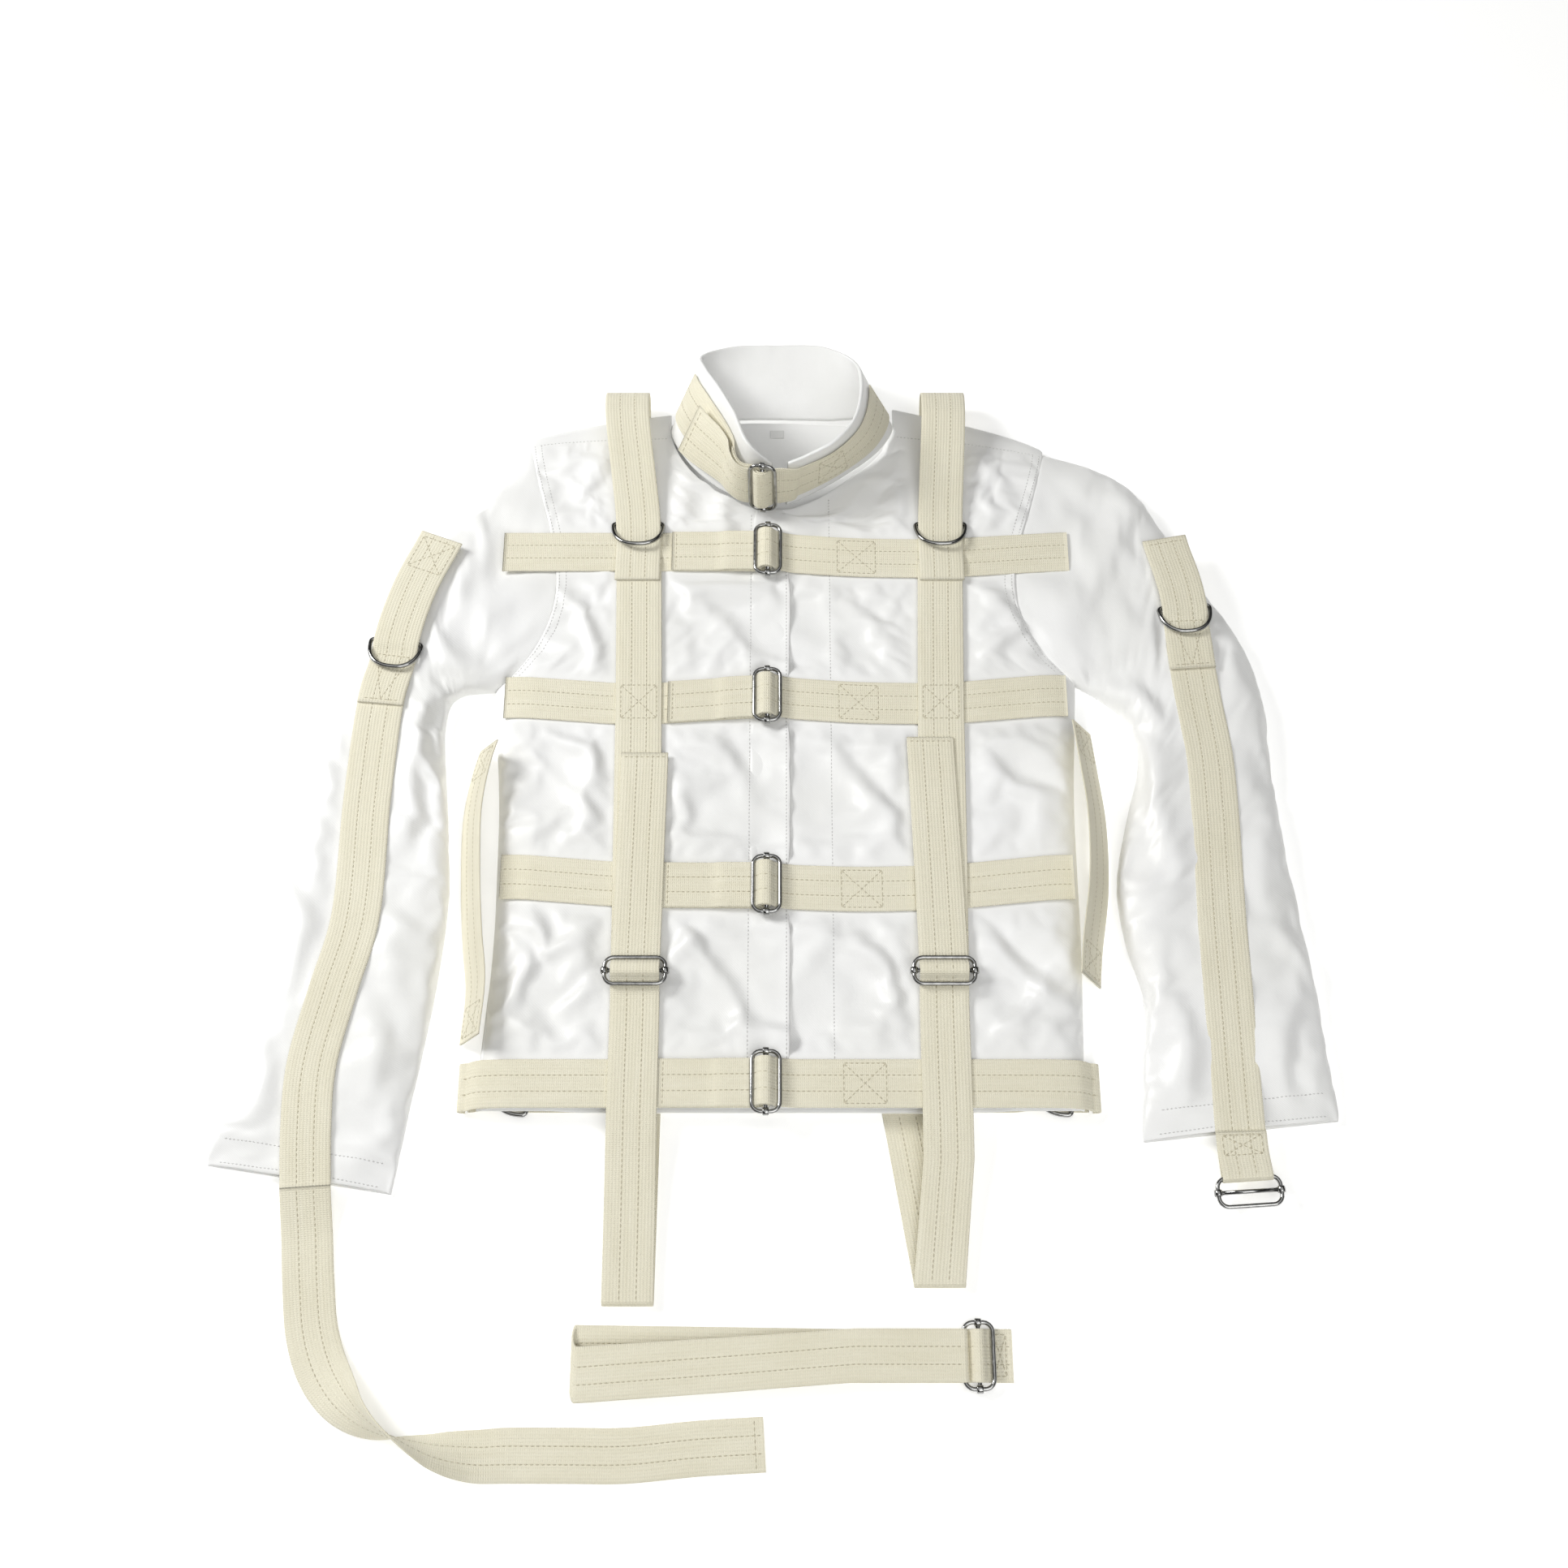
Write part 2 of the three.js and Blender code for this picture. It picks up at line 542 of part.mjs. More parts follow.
// The other end comes round from the right, and its tail stands free on the left.
const collarThreaded = threadedOver({ start: COLLAR_THREADED_END, tail: COLLAR_TAIL_END, ...atCollar });
add("collar_strap", strap(collarThreaded, collarLay), WEB_CREAM);
const collarBuckleAt = collarLay(COLLAR_BUCKLE, BAR_HEIGHT, 0);
addBuckle("collar_buckle", collarBuckleAt, BUCKLE_ALONG.toArray(), BUCKLE_UP.toArray());

// ---- Belts ----
const BUCKLE_X = -8 * SX;
// Middle line of each belt, left end to right end, and how far it drops by the distance to its end.
const SIDE_FALL = [[0, 2.8], [10, 1.2], [24, 0], [34, 0]];
const BELTS = {
  chest_belt: {
    line: [[-245, 260], [-124, 260], [-8, 260], [69, 254], [144, 253], [261, 261]],
    fall: [[0, 0], [34, 0]],
  },
  waist_belt: {
    line: [[-236, 115], [-124, 106], [-8, 114], [69, 108], [144, 107], [252, 117]],
    fall: SIDE_FALL,
  },
  belly_belt: {
    line: [[-230, -53], [-124, -62], [-8, -63], [69, -66], [144, -64], [248, -53]],
    fall: SIDE_FALL,
  },
  hem_belt: {
    line: [[-248, HEM_BELT_Y], [253, HEM_BELT_Y]],
    fall: [[0, 12], [4, 7], [10, 3], [20, 1.2], [34, 0]],
  },
};

for (const [name, { line, fall }] of Object.entries(BELTS)) {
  const route = line.map(place);
  const [leftEnd, rightEnd] = [route[0][0], route[route.length - 1][0]];
  const near = fall.map(([d]) => d);
  const dip = (a) => along(fall, Math.max(0, Math.min(a - leftEnd, rightEnd - a)));
  const lay = (a, h, across) => [a, along(route, a) + across * WEB_WIDTH, h - dip(a)];
  const atBuckle = { bar: BUCKLE_X, low: BELT_LOW, near };
  const fixed = foldedRound({ start: leftEnd, ...atBuckle });
  const own = threadedOver({ start: rightEnd, tail: BUCKLE_X - TAIL_REACH, ...atBuckle });
  add(`${name}_anchor`, strap(fixed, lay), WEB_CREAM);
  add(`${name}_strap`, strap(own, lay), WEB_CREAM);
  addBuckle(`${name}_buckle`, lay(BUCKLE_X, BELT_LOW + BAR_HEIGHT, 0), [1, 0, 0], [0, 1, 0]);
}

// The hem belt goes on round the back, under the cloth and over each rear ring's rim.
const REAR_Y = HEM_BELT_Y + 1;
const RIM_HUMP = [[-RING_DEPTH - 17, 0], [-RING_DEPTH - 8, 1], [-12, 1], [-4.5, 0]];
const humps = REAR_RINGS.flatMap((bar) => RIM_HUMP.map(([d, share]) => [bar + d, WEB / 2 + share * RING_RISE]));
const backBelt = [[-246 * SX, WEB / 2], ...humps, [250 * SX, WEB / 2]];
const backLay = (a, h, across) => [a, REAR_Y * SY + across * WEB_WIDTH, h];
add("hem_belt_back", strap(backBelt, backLay), WEB_CREAM);
const REAR_BAR_HEIGHT = WEB + GAP + RING_WIRE / 2;
REAR_RINGS.forEach((bar, i) => {
  const name = ["rear_ring_left", "rear_ring_right"][i];
  const tilt = (REAR_BAR_HEIGHT - RING_WIRE / 2) / RING_DEPTH;
  pose(add(name, dRing(), NICKEL), [bar, REAR_Y * SY, REAR_BAR_HEIGHT], [0, -1, 0], [1, 0, tilt]);
});

// ---- Harness bands, shoulder straps and crotch straps ----
const CROTCH_BUCKLE_Y = -140;
const RING_Y = 289; // straight bar of a shoulder ring
const BAND_TOP_BELOW_RING = 38; // where the band's top end lies under the shoulder strap
// Height of a ring's rim when its wire clears a strap's upper face where the strap enters it.
const STRAP_ENTRY = 12;
const ringTilt = (bar, face) => bar + (RING_DEPTH * (face + GAP + RING_WIRE / 2 - bar)) / STRAP_ENTRY;
const SHOULDER_BAR = TORSO_TOP + GAP + RING_WIRE / 2;
const HARNESS = {
  left: {
    band: [[-160, -114], [-60, -116], [106, -119], [289, -124]],
    shoulder: [-124, -138],
    tailTop: 58,
    tailDrift: 6,
    foldY: -400,
    back: -112,
  },
  right: {
    band: [[-160, 136], [-60, 139], [106, 142], [289, 147]],
    shoulder: [147, 153],
    tailTop: 73,
    tailDrift: -10,
    foldY: -386,
    back: 104,
  },
};

const CROTCH_FOLD = 3.4; // radius of the fold at the foot of a crotch strap
for (const [side, { band, shoulder, tailTop, foldY, back, tailDrift }] of Object.entries(HARNESS)) {
  const buckleY = CROTCH_BUCKLE_Y * SY;
  const lineX = band.map(([y, x]) => [y * SY, x * SX]);
  const top = (RING_Y - BAND_TOP_BELOW_RING) * SY;
  const fixed = foldedRound({ start: top, bar: buckleY, low: BAND_LOW, run: 8 });
  const bandLay = (a, h, across) => [along(lineX, a) + across * WEB_WIDTH, a, h];
  add(`harness_band_${side}`, strap(fixed, bandLay), WEB_CREAM);
  const buckleAt = bandLay(buckleY, BAND_LOW + BAR_HEIGHT, 0);
  addBuckle(`crotch_buckle_${side}`, buckleAt, [0, -1, 0], [1, 0, 0]);

  // Crotch strap: its tail lies on the band; it comes down through the buckle, over the hem, and
  // is doubled back under the jacket.
  const threaded = threadedOver({ start: (HEM - 4) * SY, bar: buckleY, low: BAND_LOW, tail: tailTop * SY });
  const foldAt = foldY * SY;
  const fold = roundBar(foldAt, WEB / 2 + CROTCH_FOLD, -1, CROTCH_FOLD, Math.PI / 2, -Math.PI / 2);
  const falling = [[HEM - 18, 18], [HEM - 40, 14], [HEM - 80, 10], [HEM - 120, 8.2]];
  const descent = falling.map(([y, z]) => [y * SY, z]);
  const underEnd = HEM_BELT_Y * SY - WEB_WIDTH / 2;
  const under = steps(foldAt, underEnd, 5).slice(1).map((y) => [y, WEB / 2]);
  const crotch = [...[...threaded].reverse(), ...descent, ...fold, ...under];
  const drift = [[buckleY, 0], [tailTop * SY, tailDrift]];
  const crotchLay = (a, h, across) => {
    const isUnder = h < WEB + CROTCH_FOLD && a < (HEM + 10) * SY;
    const turning = isUnder ? [(HEM + 4) * SY, 1] : [(HEM - 40) * SY, 0];
    const share = along([[foldAt, 0.3], turning], a);
    return [lerp(along(lineX, a) + along(drift, a), back * SX, share) + across * WEB_WIDTH, a, h];
  };
  add(`crotch_strap_${side}`, strap(crotch, crotchLay), WEB_CREAM);

  // Shoulder strap: from under the back, up over the shoulder, over the ring's bar, under its rim.
  const ringY = RING_Y * SY;
  const overBar = SHOULDER_BAR + RING_WIRE / 2 + GAP + WEB / 2;
  const onBelt = BAND_LOW + WEB / 2;
  const bandTop = ringY - BAND_TOP_BELOW_RING * SY;
  const arch = [[330, WEB / 2], [370, WEB / 2], [414, WEB / 2], [425, 4], [431, 12], [430, 22], [420, 32], [400, 36.5],
    [370, 34], [335, 28], [306, 23.6]].map(([y, z]) => [y * SY, z]);
  const ends = [[ringY + 3, overBar], [ringY - 3, overBar], [ringY - 13, onBelt], [bandTop + 6, onBelt],
    [bandTop - 1, onBelt + LAYER], [bandTop - 22, onBelt + LAYER]];
  const shoulderX = (y) => along([[RING_Y * SY, shoulder[0] * SX], [400 * SY, shoulder[1] * SX]], y);
  const shoulderLay = (a, h, across) => [shoulderX(a) - across * WEB_WIDTH, a, h];
  add(`shoulder_strap_${side}`, strap([...arch, ...ends], shoulderLay), WEB_CREAM);
  const rimHeight = ringTilt(SHOULDER_BAR, BAND_LOW + WEB);
  pose(add(`shoulder_ring_${side}`, dRing(), NICKEL), [shoulderX(ringY), ringY, SHOULDER_BAR],
    [1, 0, 0], [0, 1, -(rimHeight - SHOULDER_BAR) / RING_DEPTH]);
}

// ---- Sleeve straps ----
// Each route runs from the outer edge near the shoulder down the sleeve to the cuff.
const SLEEVE_ROUTES = {
  left: [[-300, 272], [-318, 225], [-329, 180], [-335, 142], [-341, 108], [-345, 18], [-346, -96], [-358, -155],
    [-370, -218], [-370, -269], [-367, -313]],
  right: [[347, 271], [353, 239], [358, 208], [360, 180], [361, 150], [364, 110], [369, 55], [369, 2],
    [366, -100], [366, -196], [367, -275], [369, -306]],
};
const SLEEVE_RINGS = { left: 112, right: 72 }; // straight bar, along the route
const LOOP_END = 62; // loop's sewn end, beyond the bar
const BAND_START = 36; // band's top end, beyond the bar

function routeLay(points, heightAt) {
  const curve = smoothLine(points.map(place));
  const length = curve.getLength();
  const lay = (a, h, across) => {
    const t = Math.min(1, Math.max(0, a / length));
    const spot = curve.getPointAt(t);
    const way = curve.getTangentAt(t);
    const ahead = a - t * length;
    const off = across * WEB_WIDTH;
    return [spot.x + way.x * ahead - way.y * off, spot.y + way.y * ahead + way.x * off, heightAt(a, length) + h];
  };
  return { lay, length, curve };
}

// Share of the fall from sleeve height to cuff height, by distance from the route's end.
const CUFF_FALL = { left: [[0, 0.95], [57, 0.4], [155, 0]], right: [[0, 1.4], [39, 0.98], [165, 0]] };
for (const [side, points] of Object.entries(SLEEVE_ROUTES)) {
  const fall = (a, length) =>
    SLEEVE_STRAP_LOW - (SLEEVE_TOP - CUFF_TOP) * along(CUFF_FALL[side], Math.max(0, length - a));
  const { lay, length, curve } = routeLay(points, fall);
  const bar = SLEEVE_RINGS[side] * SY;
  const barHeight = RING_WIRE / 2;
  const overBar = RING_WIRE + GAP + WEB / 2;
  const bandAt = bar + BAND_START;
  const loop = [[0, WEB / 2], [14, WEB / 2], [bar - 32, 5], [bar - 16, 5.6], [bar - 3, overBar], [bar + 3, overBar],
    [bar + 12, WEB / 2], [bandAt - 7, WEB / 2], [bandAt, LAYER + WEB / 2], [bar + LOOP_END, LAYER + WEB / 2]];
  add(`sleeve_loop_${side}`, strap(loop, lay), WEB_CREAM);
  const rimHeight = ringTilt(barHeight, WEB);
  const way = curve.getTangentAt(bar / length);
  const tilt = (rimHeight - barHeight) / RING_DEPTH;
  const ring = add(`sleeve_ring_${side}`, dRing(), NICKEL);
  pose(ring, lay(bar, barHeight, 0), [-way.y, way.x, 0], [-way.x, -way.y, -tilt]);

  const from = bandAt + 1;
  if (side === "left") {
    add("sleeve_band_left", strap(steps(from, length, 18).map((a) => [a, WEB / 2]), lay), WEB_CREAM);
    continue;
  }
  // The right band ends folded round the side bar of a slide buckle at the cuff.
  const cuffBar = length;
  const folded = foldedEnd({ start: from, bar: cuffBar, tail: cuffBar - SEWN_FOLD, run: 18 });
  add("sleeve_band_right", strap(folded, lay), WEB_CREAM);
  const end = curve.getTangentAt(1);
  const cuffAt = lay(cuffBar + BUCKLE_DEPTH / 2, BAR_ON_WEB, 0);
  addBuckle("cuff_buckle", cuffAt, [end.x, end.y, 0], [-end.y, end.x, 0]);
}

// The left strap's free tail: off the cuff to the floor, half a turn over, and along the floor.
const TAIL_ROUTE = [[-367, -314, 14.2], [-366, -328, 9.5], [-364, -350, 3.5], [-360, -385, 1.6],
  [-353, -425, 1.6], [-340, -455, 6], [-318, -481, 15], [-288, -500, 21], [-256, -511, 14],
  [-225, -514, 5], [-200, -513, 1.8], [-154, -513, 1], [-112, -513, 1], [-58, -508, 1], [-8, -505, 1]];
const TAIL_TWIST = [[0, 0], [0.3, 0], [0.44, 0.5], [0.58, 1], [1, 1]]; // share of the half turn by share of the length
const TAIL_STEPS = 64;
function sleeveTail() {
  const curve = smoothLine(TAIL_ROUTE.map(([x, y, z]) => [...place([x, y]), z]));
  return loft(steps(0, 1, TAIL_STEPS).map((t) => {
    const spot = curve.getPointAt(t);
    const way = curve.getTangentAt(t);
    const side = new THREE.Vector3(-way.y, way.x, 0).normalize();
    side.applyAxisAngle(way, Math.PI * along(TAIL_TWIST, t));
    const up = way.clone().cross(side).normalize();
    const face = (sign, across) => spot.clone().addScaledVector(side, across * WEB_WIDTH)
      .addScaledVector(up, (sign * WEB) / 2).toArray();
    return [face(1, -0.5), face(1, 0.5), face(-1, 0.5), face(-1, -0.5)];
  }));
}
add("sleeve_tail_left", sleeveTail(), WEB_CREAM);

// ---- Side loops: straps that lean against the body below the armpits ----
const SIDE_LOOPS = {
  left: [[-246, 66], [-251, 45], [-256, 5], [-254, -55], [-249, -110], [-244, -150], [-246, -196]],
  right: [[262, 84], [266, 45], [270, 0], [268, -60], [259, -118], [256, -146]],
};
const LEAN = Math.PI / 3; // of the strap's width from the floor
for (const [side, points] of Object.entries(SIDE_LOOPS)) {
  const curve = smoothLine(points.map(place));
  const inwards = side === "left" ? 1 : -1;
  const rise = (WEB_WIDTH / 2) * Math.sin(LEAN) + WEB;
  const sections = steps(0, 1, 22).map((t) => {
    const spot = curve.getPointAt(t);
    const way = curve.getTangentAt(t);
    const face = (sign, across) => {
      const reach = across * WEB_WIDTH;
      const flat = inwards * (reach * Math.cos(LEAN) + ((sign * WEB) / 2) * Math.sin(LEAN));
      const height = rise + reach * Math.sin(LEAN) - ((sign * WEB) / 2) * Math.cos(LEAN);
      const across2d = new THREE.Vector2(-way.y, way.x).multiplyScalar(Math.sign(-way.y) * flat);
      return [spot.x + across2d.x, spot.y + across2d.y, height];
    };
    return [face(1, -0.5), face(1, 0.5), face(-1, 0.5), face(-1, -0.5)];
  });
  add(`side_loop_${side}`, loft(sections), WEB_CREAM);
}

// ---- Blank size label at the back of the neck ----
const LABEL = { width: 13, length: 9, thick: 0.5 };
const label = add("size_label", new THREE.BoxGeometry(LABEL.width, LABEL.length, LABEL.thick), CLOTH_WHITE);
label.position.set(0, 396 * SY, BACK_LOW + CLOTH + GAP + LABEL.thick / 2);

// ---- Loose belt on the floor: a doubled strap with its own slide buckle ----
const LOOSE = {
  buckleX: 154 * SX,
  foldX: -150 * SX,
  endX: 154 * SX + 26,
  lowY: -440.5,
  highY: -441.5,
  foldY: -452,
  foldRadius: 4.2,
};
function looseBelt() {
  const frameHeight = LAYER + BAR_ON_WEB;
  const nearBar = LOOSE.buckleX - BUCKLE_DEPTH / 2;
  const farBar = LOOSE.buckleX + BUCKLE_DEPTH / 2;
  const overBar = frameHeight + WRAP + GAP;
  const mid = WEB / 2;
  const entry = [[LOOSE.endX, mid], [farBar + 3, mid], [farBar - 4, 2.2], [LOOSE.buckleX + 3, overBar],
    [LOOSE.buckleX - 3, overBar], [nearBar + 4, 2.2], [nearBar - 3, mid]];
  const lower = steps(nearBar - 3, LOOSE.foldX, 12).slice(1).map((x) => [x, mid]);
  const foldHeight = mid + LOOSE.foldRadius;
  const fold = roundBar(LOOSE.foldX, foldHeight, -1, LOOSE.foldRadius, -Math.PI / 2, Math.PI / 2).slice(1);
  const liftOff = steps(LOOSE.foldX, nearBar - 60, 8).slice(1).map((x) => [x, mid + 2 * LOOSE.foldRadius]);
  const upper = [...liftOff, [nearBar - 6, frameHeight + WRAP]];
  const turn = roundBar(nearBar, frameHeight, 1, WRAP, Math.PI / 2, -Math.PI / 2);
  const tuck = [[nearBar - 10, LAYER + mid], [nearBar - 42, LAYER + mid]];
  const lay = (a, h, across) => {
    const share = along([[LOOSE.foldX, 1], [nearBar, 0]], a);
    const y = lerp(h > LAYER ? LOOSE.highY : LOOSE.lowY, LOOSE.foldY, share);
    return [a, y * SY + across * WEB_WIDTH, h];
  };
  add("loose_belt", strap([...entry, ...lower, ...fold, ...upper, ...turn, ...tuck], lay), WEB_CREAM);
  const middleY = ((LOOSE.lowY + LOOSE.highY) / 2) * SY;
  addBuckle("loose_belt_buckle", [LOOSE.buckleX, middleY, frameHeight], [1, 0, 0], [0, 1, 0]);
}
looseBelt();

export default jacket;
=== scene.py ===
"""The looks of a webbing-harness jacket laid on a pale floor: cloth, webbing, stitching and wire goods.

Lengths are in millimetres up to mesh_piece(), which makes the objects in metres.
"""

import json
import math

import bpy
import numpy as np
from mathutils import Matrix, Vector, noise
from mathutils.bvhtree import BVHTree

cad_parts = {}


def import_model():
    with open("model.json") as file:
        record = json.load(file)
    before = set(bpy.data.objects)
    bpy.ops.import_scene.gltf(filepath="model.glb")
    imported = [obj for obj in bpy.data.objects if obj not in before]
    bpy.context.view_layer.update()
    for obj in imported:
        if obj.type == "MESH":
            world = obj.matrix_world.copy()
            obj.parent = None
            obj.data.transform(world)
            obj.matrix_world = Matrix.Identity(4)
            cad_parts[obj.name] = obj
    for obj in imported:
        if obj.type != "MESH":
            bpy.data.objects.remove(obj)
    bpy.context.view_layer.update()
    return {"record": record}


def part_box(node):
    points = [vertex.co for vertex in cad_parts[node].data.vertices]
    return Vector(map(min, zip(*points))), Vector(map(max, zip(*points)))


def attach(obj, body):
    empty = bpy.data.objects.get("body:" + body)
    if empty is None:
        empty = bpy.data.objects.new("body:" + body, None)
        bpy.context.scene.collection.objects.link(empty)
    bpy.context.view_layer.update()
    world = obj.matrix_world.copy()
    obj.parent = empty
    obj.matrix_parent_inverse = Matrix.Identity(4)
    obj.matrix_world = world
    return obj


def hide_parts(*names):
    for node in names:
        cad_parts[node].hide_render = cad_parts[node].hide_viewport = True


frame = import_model()
MM = 0.001

# ---- Sizes shared with the frame ----
HEM = -252
CLOTH = 1.6
TORSO_TOP = 17
SLEEVE_TOP = 22
CUFF_TOP = 12
WEB_WIDTH = 40
WEB = 1.6
WIRE = 3.5
BUCKLE_SPAN = 49.5
BUCKLE_DEPTH = 22.5
RING_WIRE = 3.8
RING_SPAN = 45.4
RING_DEPTH = 27
GAP = 0.3
SEWN_FOLD = 36
TAIL_REACH = 86
LAYER = WEB + GAP
BACK_LOW = LAYER
EDGE_TOP = BACK_LOW + 2 * CLOTH + GAP
BELT_LOW = TORSO_TOP + GAP
BAND_LOW = BELT_LOW + LAYER
SLEEVE_STRAP_LOW = SLEEVE_TOP + 2 * GAP
WRAP = WIRE / 2 + GAP + WEB / 2
EYE_INNER = WIRE / 2 + GAP
STACK = 3 * LAYER
BAR_HEIGHT = STACK + WIRE / 2
BAR_ON_WEB = LAYER + WIRE / 2


# ---- Lines and numbers ----
def lerp(a, b, t):
    return a + (b - a) * t


def steps(a, b, n):
    return np.linspace(a, b, n + 1)


def along(pairs, at):
    """A value read off (position, value) pairs in rising order of position."""
    return np.interp(at, [p for p, _ in pairs], [v for _, v in pairs])


def soft_along(pairs, at, reach=16):
    """The same, with the corners between the pairs rounded."""
    return sum(along(pairs, at + reach * k) for k in (-1, -0.5, 0, 0.5, 1)) / 5


def unit(v):
    v = np.asarray(v, float)
    return v / max(1e-9, np.linalg.norm(v))


class Line:
    """A smooth line through points (a centripetal Catmull-Rom spline)."""

    def __init__(self, points, per=30):
        given = np.array([[*p, 0][:3] for p in points], float)
        count = len(given)
        ends = [2 * given[0] - given[1], *given, 2 * given[-1] - given[-2]]
        self.knots = []
        for i in range(count - 1):
            self.knots.append([self.piece(ends[i : i + 4], w) for w in np.arange(per) / per])
        self.dense = np.array([p for piece in self.knots for p in piece] + [given[-1]])
        self.shares = np.arange(len(self.dense)) / (len(self.dense) - 1)
        lengths = np.linalg.norm(np.diff(self.dense, axis=0), axis=1)
        self.travel = np.concatenate([[0], np.cumsum(lengths)])
        self.length = self.travel[-1]

    @staticmethod
    def piece(p, w):
        spans = [max(1e-6, float(np.sum((b - a) ** 2)) ** 0.25) for a, b in zip(p, p[1:])]
        d0, d1, d2 = spans
        slope1 = ((p[1] - p[0]) / d0 - (p[2] - p[0]) / (d0 + d1) + (p[2] - p[1]) / d1) * d1
        slope2 = ((p[2] - p[1]) / d1 - (p[3] - p[1]) / (d1 + d2) + (p[3] - p[2]) / d2) * d1
        c2 = -3 * p[1] + 3 * p[2] - 2 * slope1 - slope2
        c3 = 2 * p[1] - 2 * p[2] + slope1 + slope2
        return p[1] + slope1 * w + c2 * w**2 + c3 * w**3

    def read(self, scale, at):
        return np.array([np.interp(at, scale, self.dense[:, k]) for k in range(3)])

    def at(self, share):
        """The point at a share of the knots."""
        return self.read(self.shares, share)

    def spot(self, distance):
        """The point at a length along the line."""
        return self.read(self.travel, distance)

    def way(self, distance, step=1.5):
        low = max(0, min(distance, self.length) - step)
        high = min(self.length, max(0, distance) + step)
        return unit(self.spot(high) - self.spot(low))


# ---- Meshes ----
def mesh_piece(name, points, faces, materials, node=None, face_slots=None, uvs=None, smooth=True):
    """An object from points in millimetres; it stands for a frame node and rides where that does."""
    mesh = bpy.data.meshes.new(name)
    mesh.from_pydata([tuple(float(v) * MM for v in p) for p in points], [], faces)
    for material in materials:
        mesh.materials.append(material)
    if face_slots is not None:
        mesh.polygons.foreach_set("material_index", face_slots)
    if uvs is not None:
        layer = mesh.uv_layers.new(name="cloth")
        corners = np.empty(len(mesh.loops), np.int32)
        mesh.loops.foreach_get("vertex_index", corners)
        layer.data.foreach_set("uv", (np.asarray(uvs, float)[corners] * MM).ravel())
    mesh.polygons.foreach_set("use_smooth", [smooth] * len(mesh.polygons))
    mesh.update()
    piece = bpy.data.objects.new(name, mesh)
    bpy.context.scene.collection.objects.link(piece)
    if node:
        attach(piece, BODY_OF[node])
        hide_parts(node)
    return piece


BODY_OF = {n: b for b, nodes in frame["record"]["behaviour"]["bodies"].items() for n in nodes}


def grid_faces(rows, columns, closed=False):
    """Quads of a grid of rows by columns; closed joins the last column to the first."""
    last = columns if closed else columns - 1
    return [
        (r * columns + c, r * columns + (c + 1) % columns, (r + 1) * columns + (c + 1) % columns, (r + 1) * columns + c)
        for r in range(rows - 1)
        for c in range(last)
    ]


# ---- Materials ----
def new_material(name):
    material = bpy.data.materials.new(name)
    material.use_nodes = True
    nodes = material.node_tree.nodes
    links = material.node_tree.links
    return material, nodes, links, nodes["Principled BSDF"]


def texture(nodes, kind, scale, **values):
    node = nodes.new(f"ShaderNodeTex{kind}")
    node.inputs["Scale"].default_value = scale
    for key, value in values.items():
        if hasattr(node, key):
            setattr(node, key, value)
        else:
            node.inputs[key.replace("_", " ")].default_value = value
    return node


def ramp(nodes, low, high, start=0.0, end=1.0):
    node = nodes.new("ShaderNodeValToRGB")
    node.color_ramp.elements[0].color = (*low, 1)
    node.color_ramp.elements[1].color = (*high, 1)
    node.color_ramp.elements[0].position = start
    node.color_ramp.elements[1].position = end
    return node


def bump(nodes, links, height, strength, distance, before=None):
    node = nodes.new("ShaderNodeBump")
    node.inputs["Strength"].default_value = strength
    node.inputs["Distance"].default_value = distance
    links.new(height, node.inputs["Height"])
    if before:
        links.new(before.outputs["Normal"], node.inputs["Normal"])
    return node


def math_node(nodes, links, operation, a, b):
    node = nodes.new("ShaderNodeMath")
    node.operation = operation
    for socket, value in zip(node.inputs, (a, b)):
        if isinstance(value, (int, float)):
            socket.default_value = value
        else:
            links.new(value, socket)
    return node.outputs[0]


WAVE_SPAN = 0.314  # metres between a wave texture's bands at scale 1


def bands(nodes, links, coordinates, direction, pitch):
    wave = texture(nodes, "Wave", WAVE_SPAN / pitch, bands_direction=direction)
    links.new(coordinates, wave.inputs["Vector"])
    return wave.outputs["Fac"]


def cloth_material():
    """White cotton satin: a fine twill, soft creases and a slightly darker, yellower tone in random patches."""
    material, nodes, links, shader = new_material("white_cloth")
    place = nodes.new("ShaderNodeTexCoord").outputs["Object"]
    shade = texture(nodes, "Noise", 9, Detail=3)
    links.new(place, shade.inputs["Vector"])
    colour = ramp(nodes, (0.84, 0.84, 0.815), (0.885, 0.885, 0.875), 0.3, 0.7)
    links.new(shade.outputs["Fac"], colour.inputs["Fac"])
    links.new(colour.outputs["Color"], shader.inputs["Base Color"])
    gloss = texture(nodes, "Noise", 25, Detail=2)
    links.new(place, gloss.inputs["Vector"])
    rough = math_node(nodes, links, "MULTIPLY_ADD", gloss.outputs["Fac"], 0.16)
    rough.node.inputs[2].default_value = 0.3
    links.new(rough, shader.inputs["Roughness"])
    shader.inputs["Sheen Weight"].default_value = 0.15
    shader.inputs["Sheen Roughness"].default_value = 0.4
    twill = bands(nodes, links, place, "DIAGONAL", 0.0011)
    crinkle = texture(nodes, "Noise", 85, Detail=4, Distortion=0.6)
    links.new(place, crinkle.inputs["Vector"])
    fine = bump(nodes, links, twill, 0.25, 0.00012)
    soft = bump(nodes, links, crinkle.outputs["Fac"], 0.35, 0.0009, fine)
    links.new(soft.outputs["Normal"], shader.inputs["Normal"])
    return material


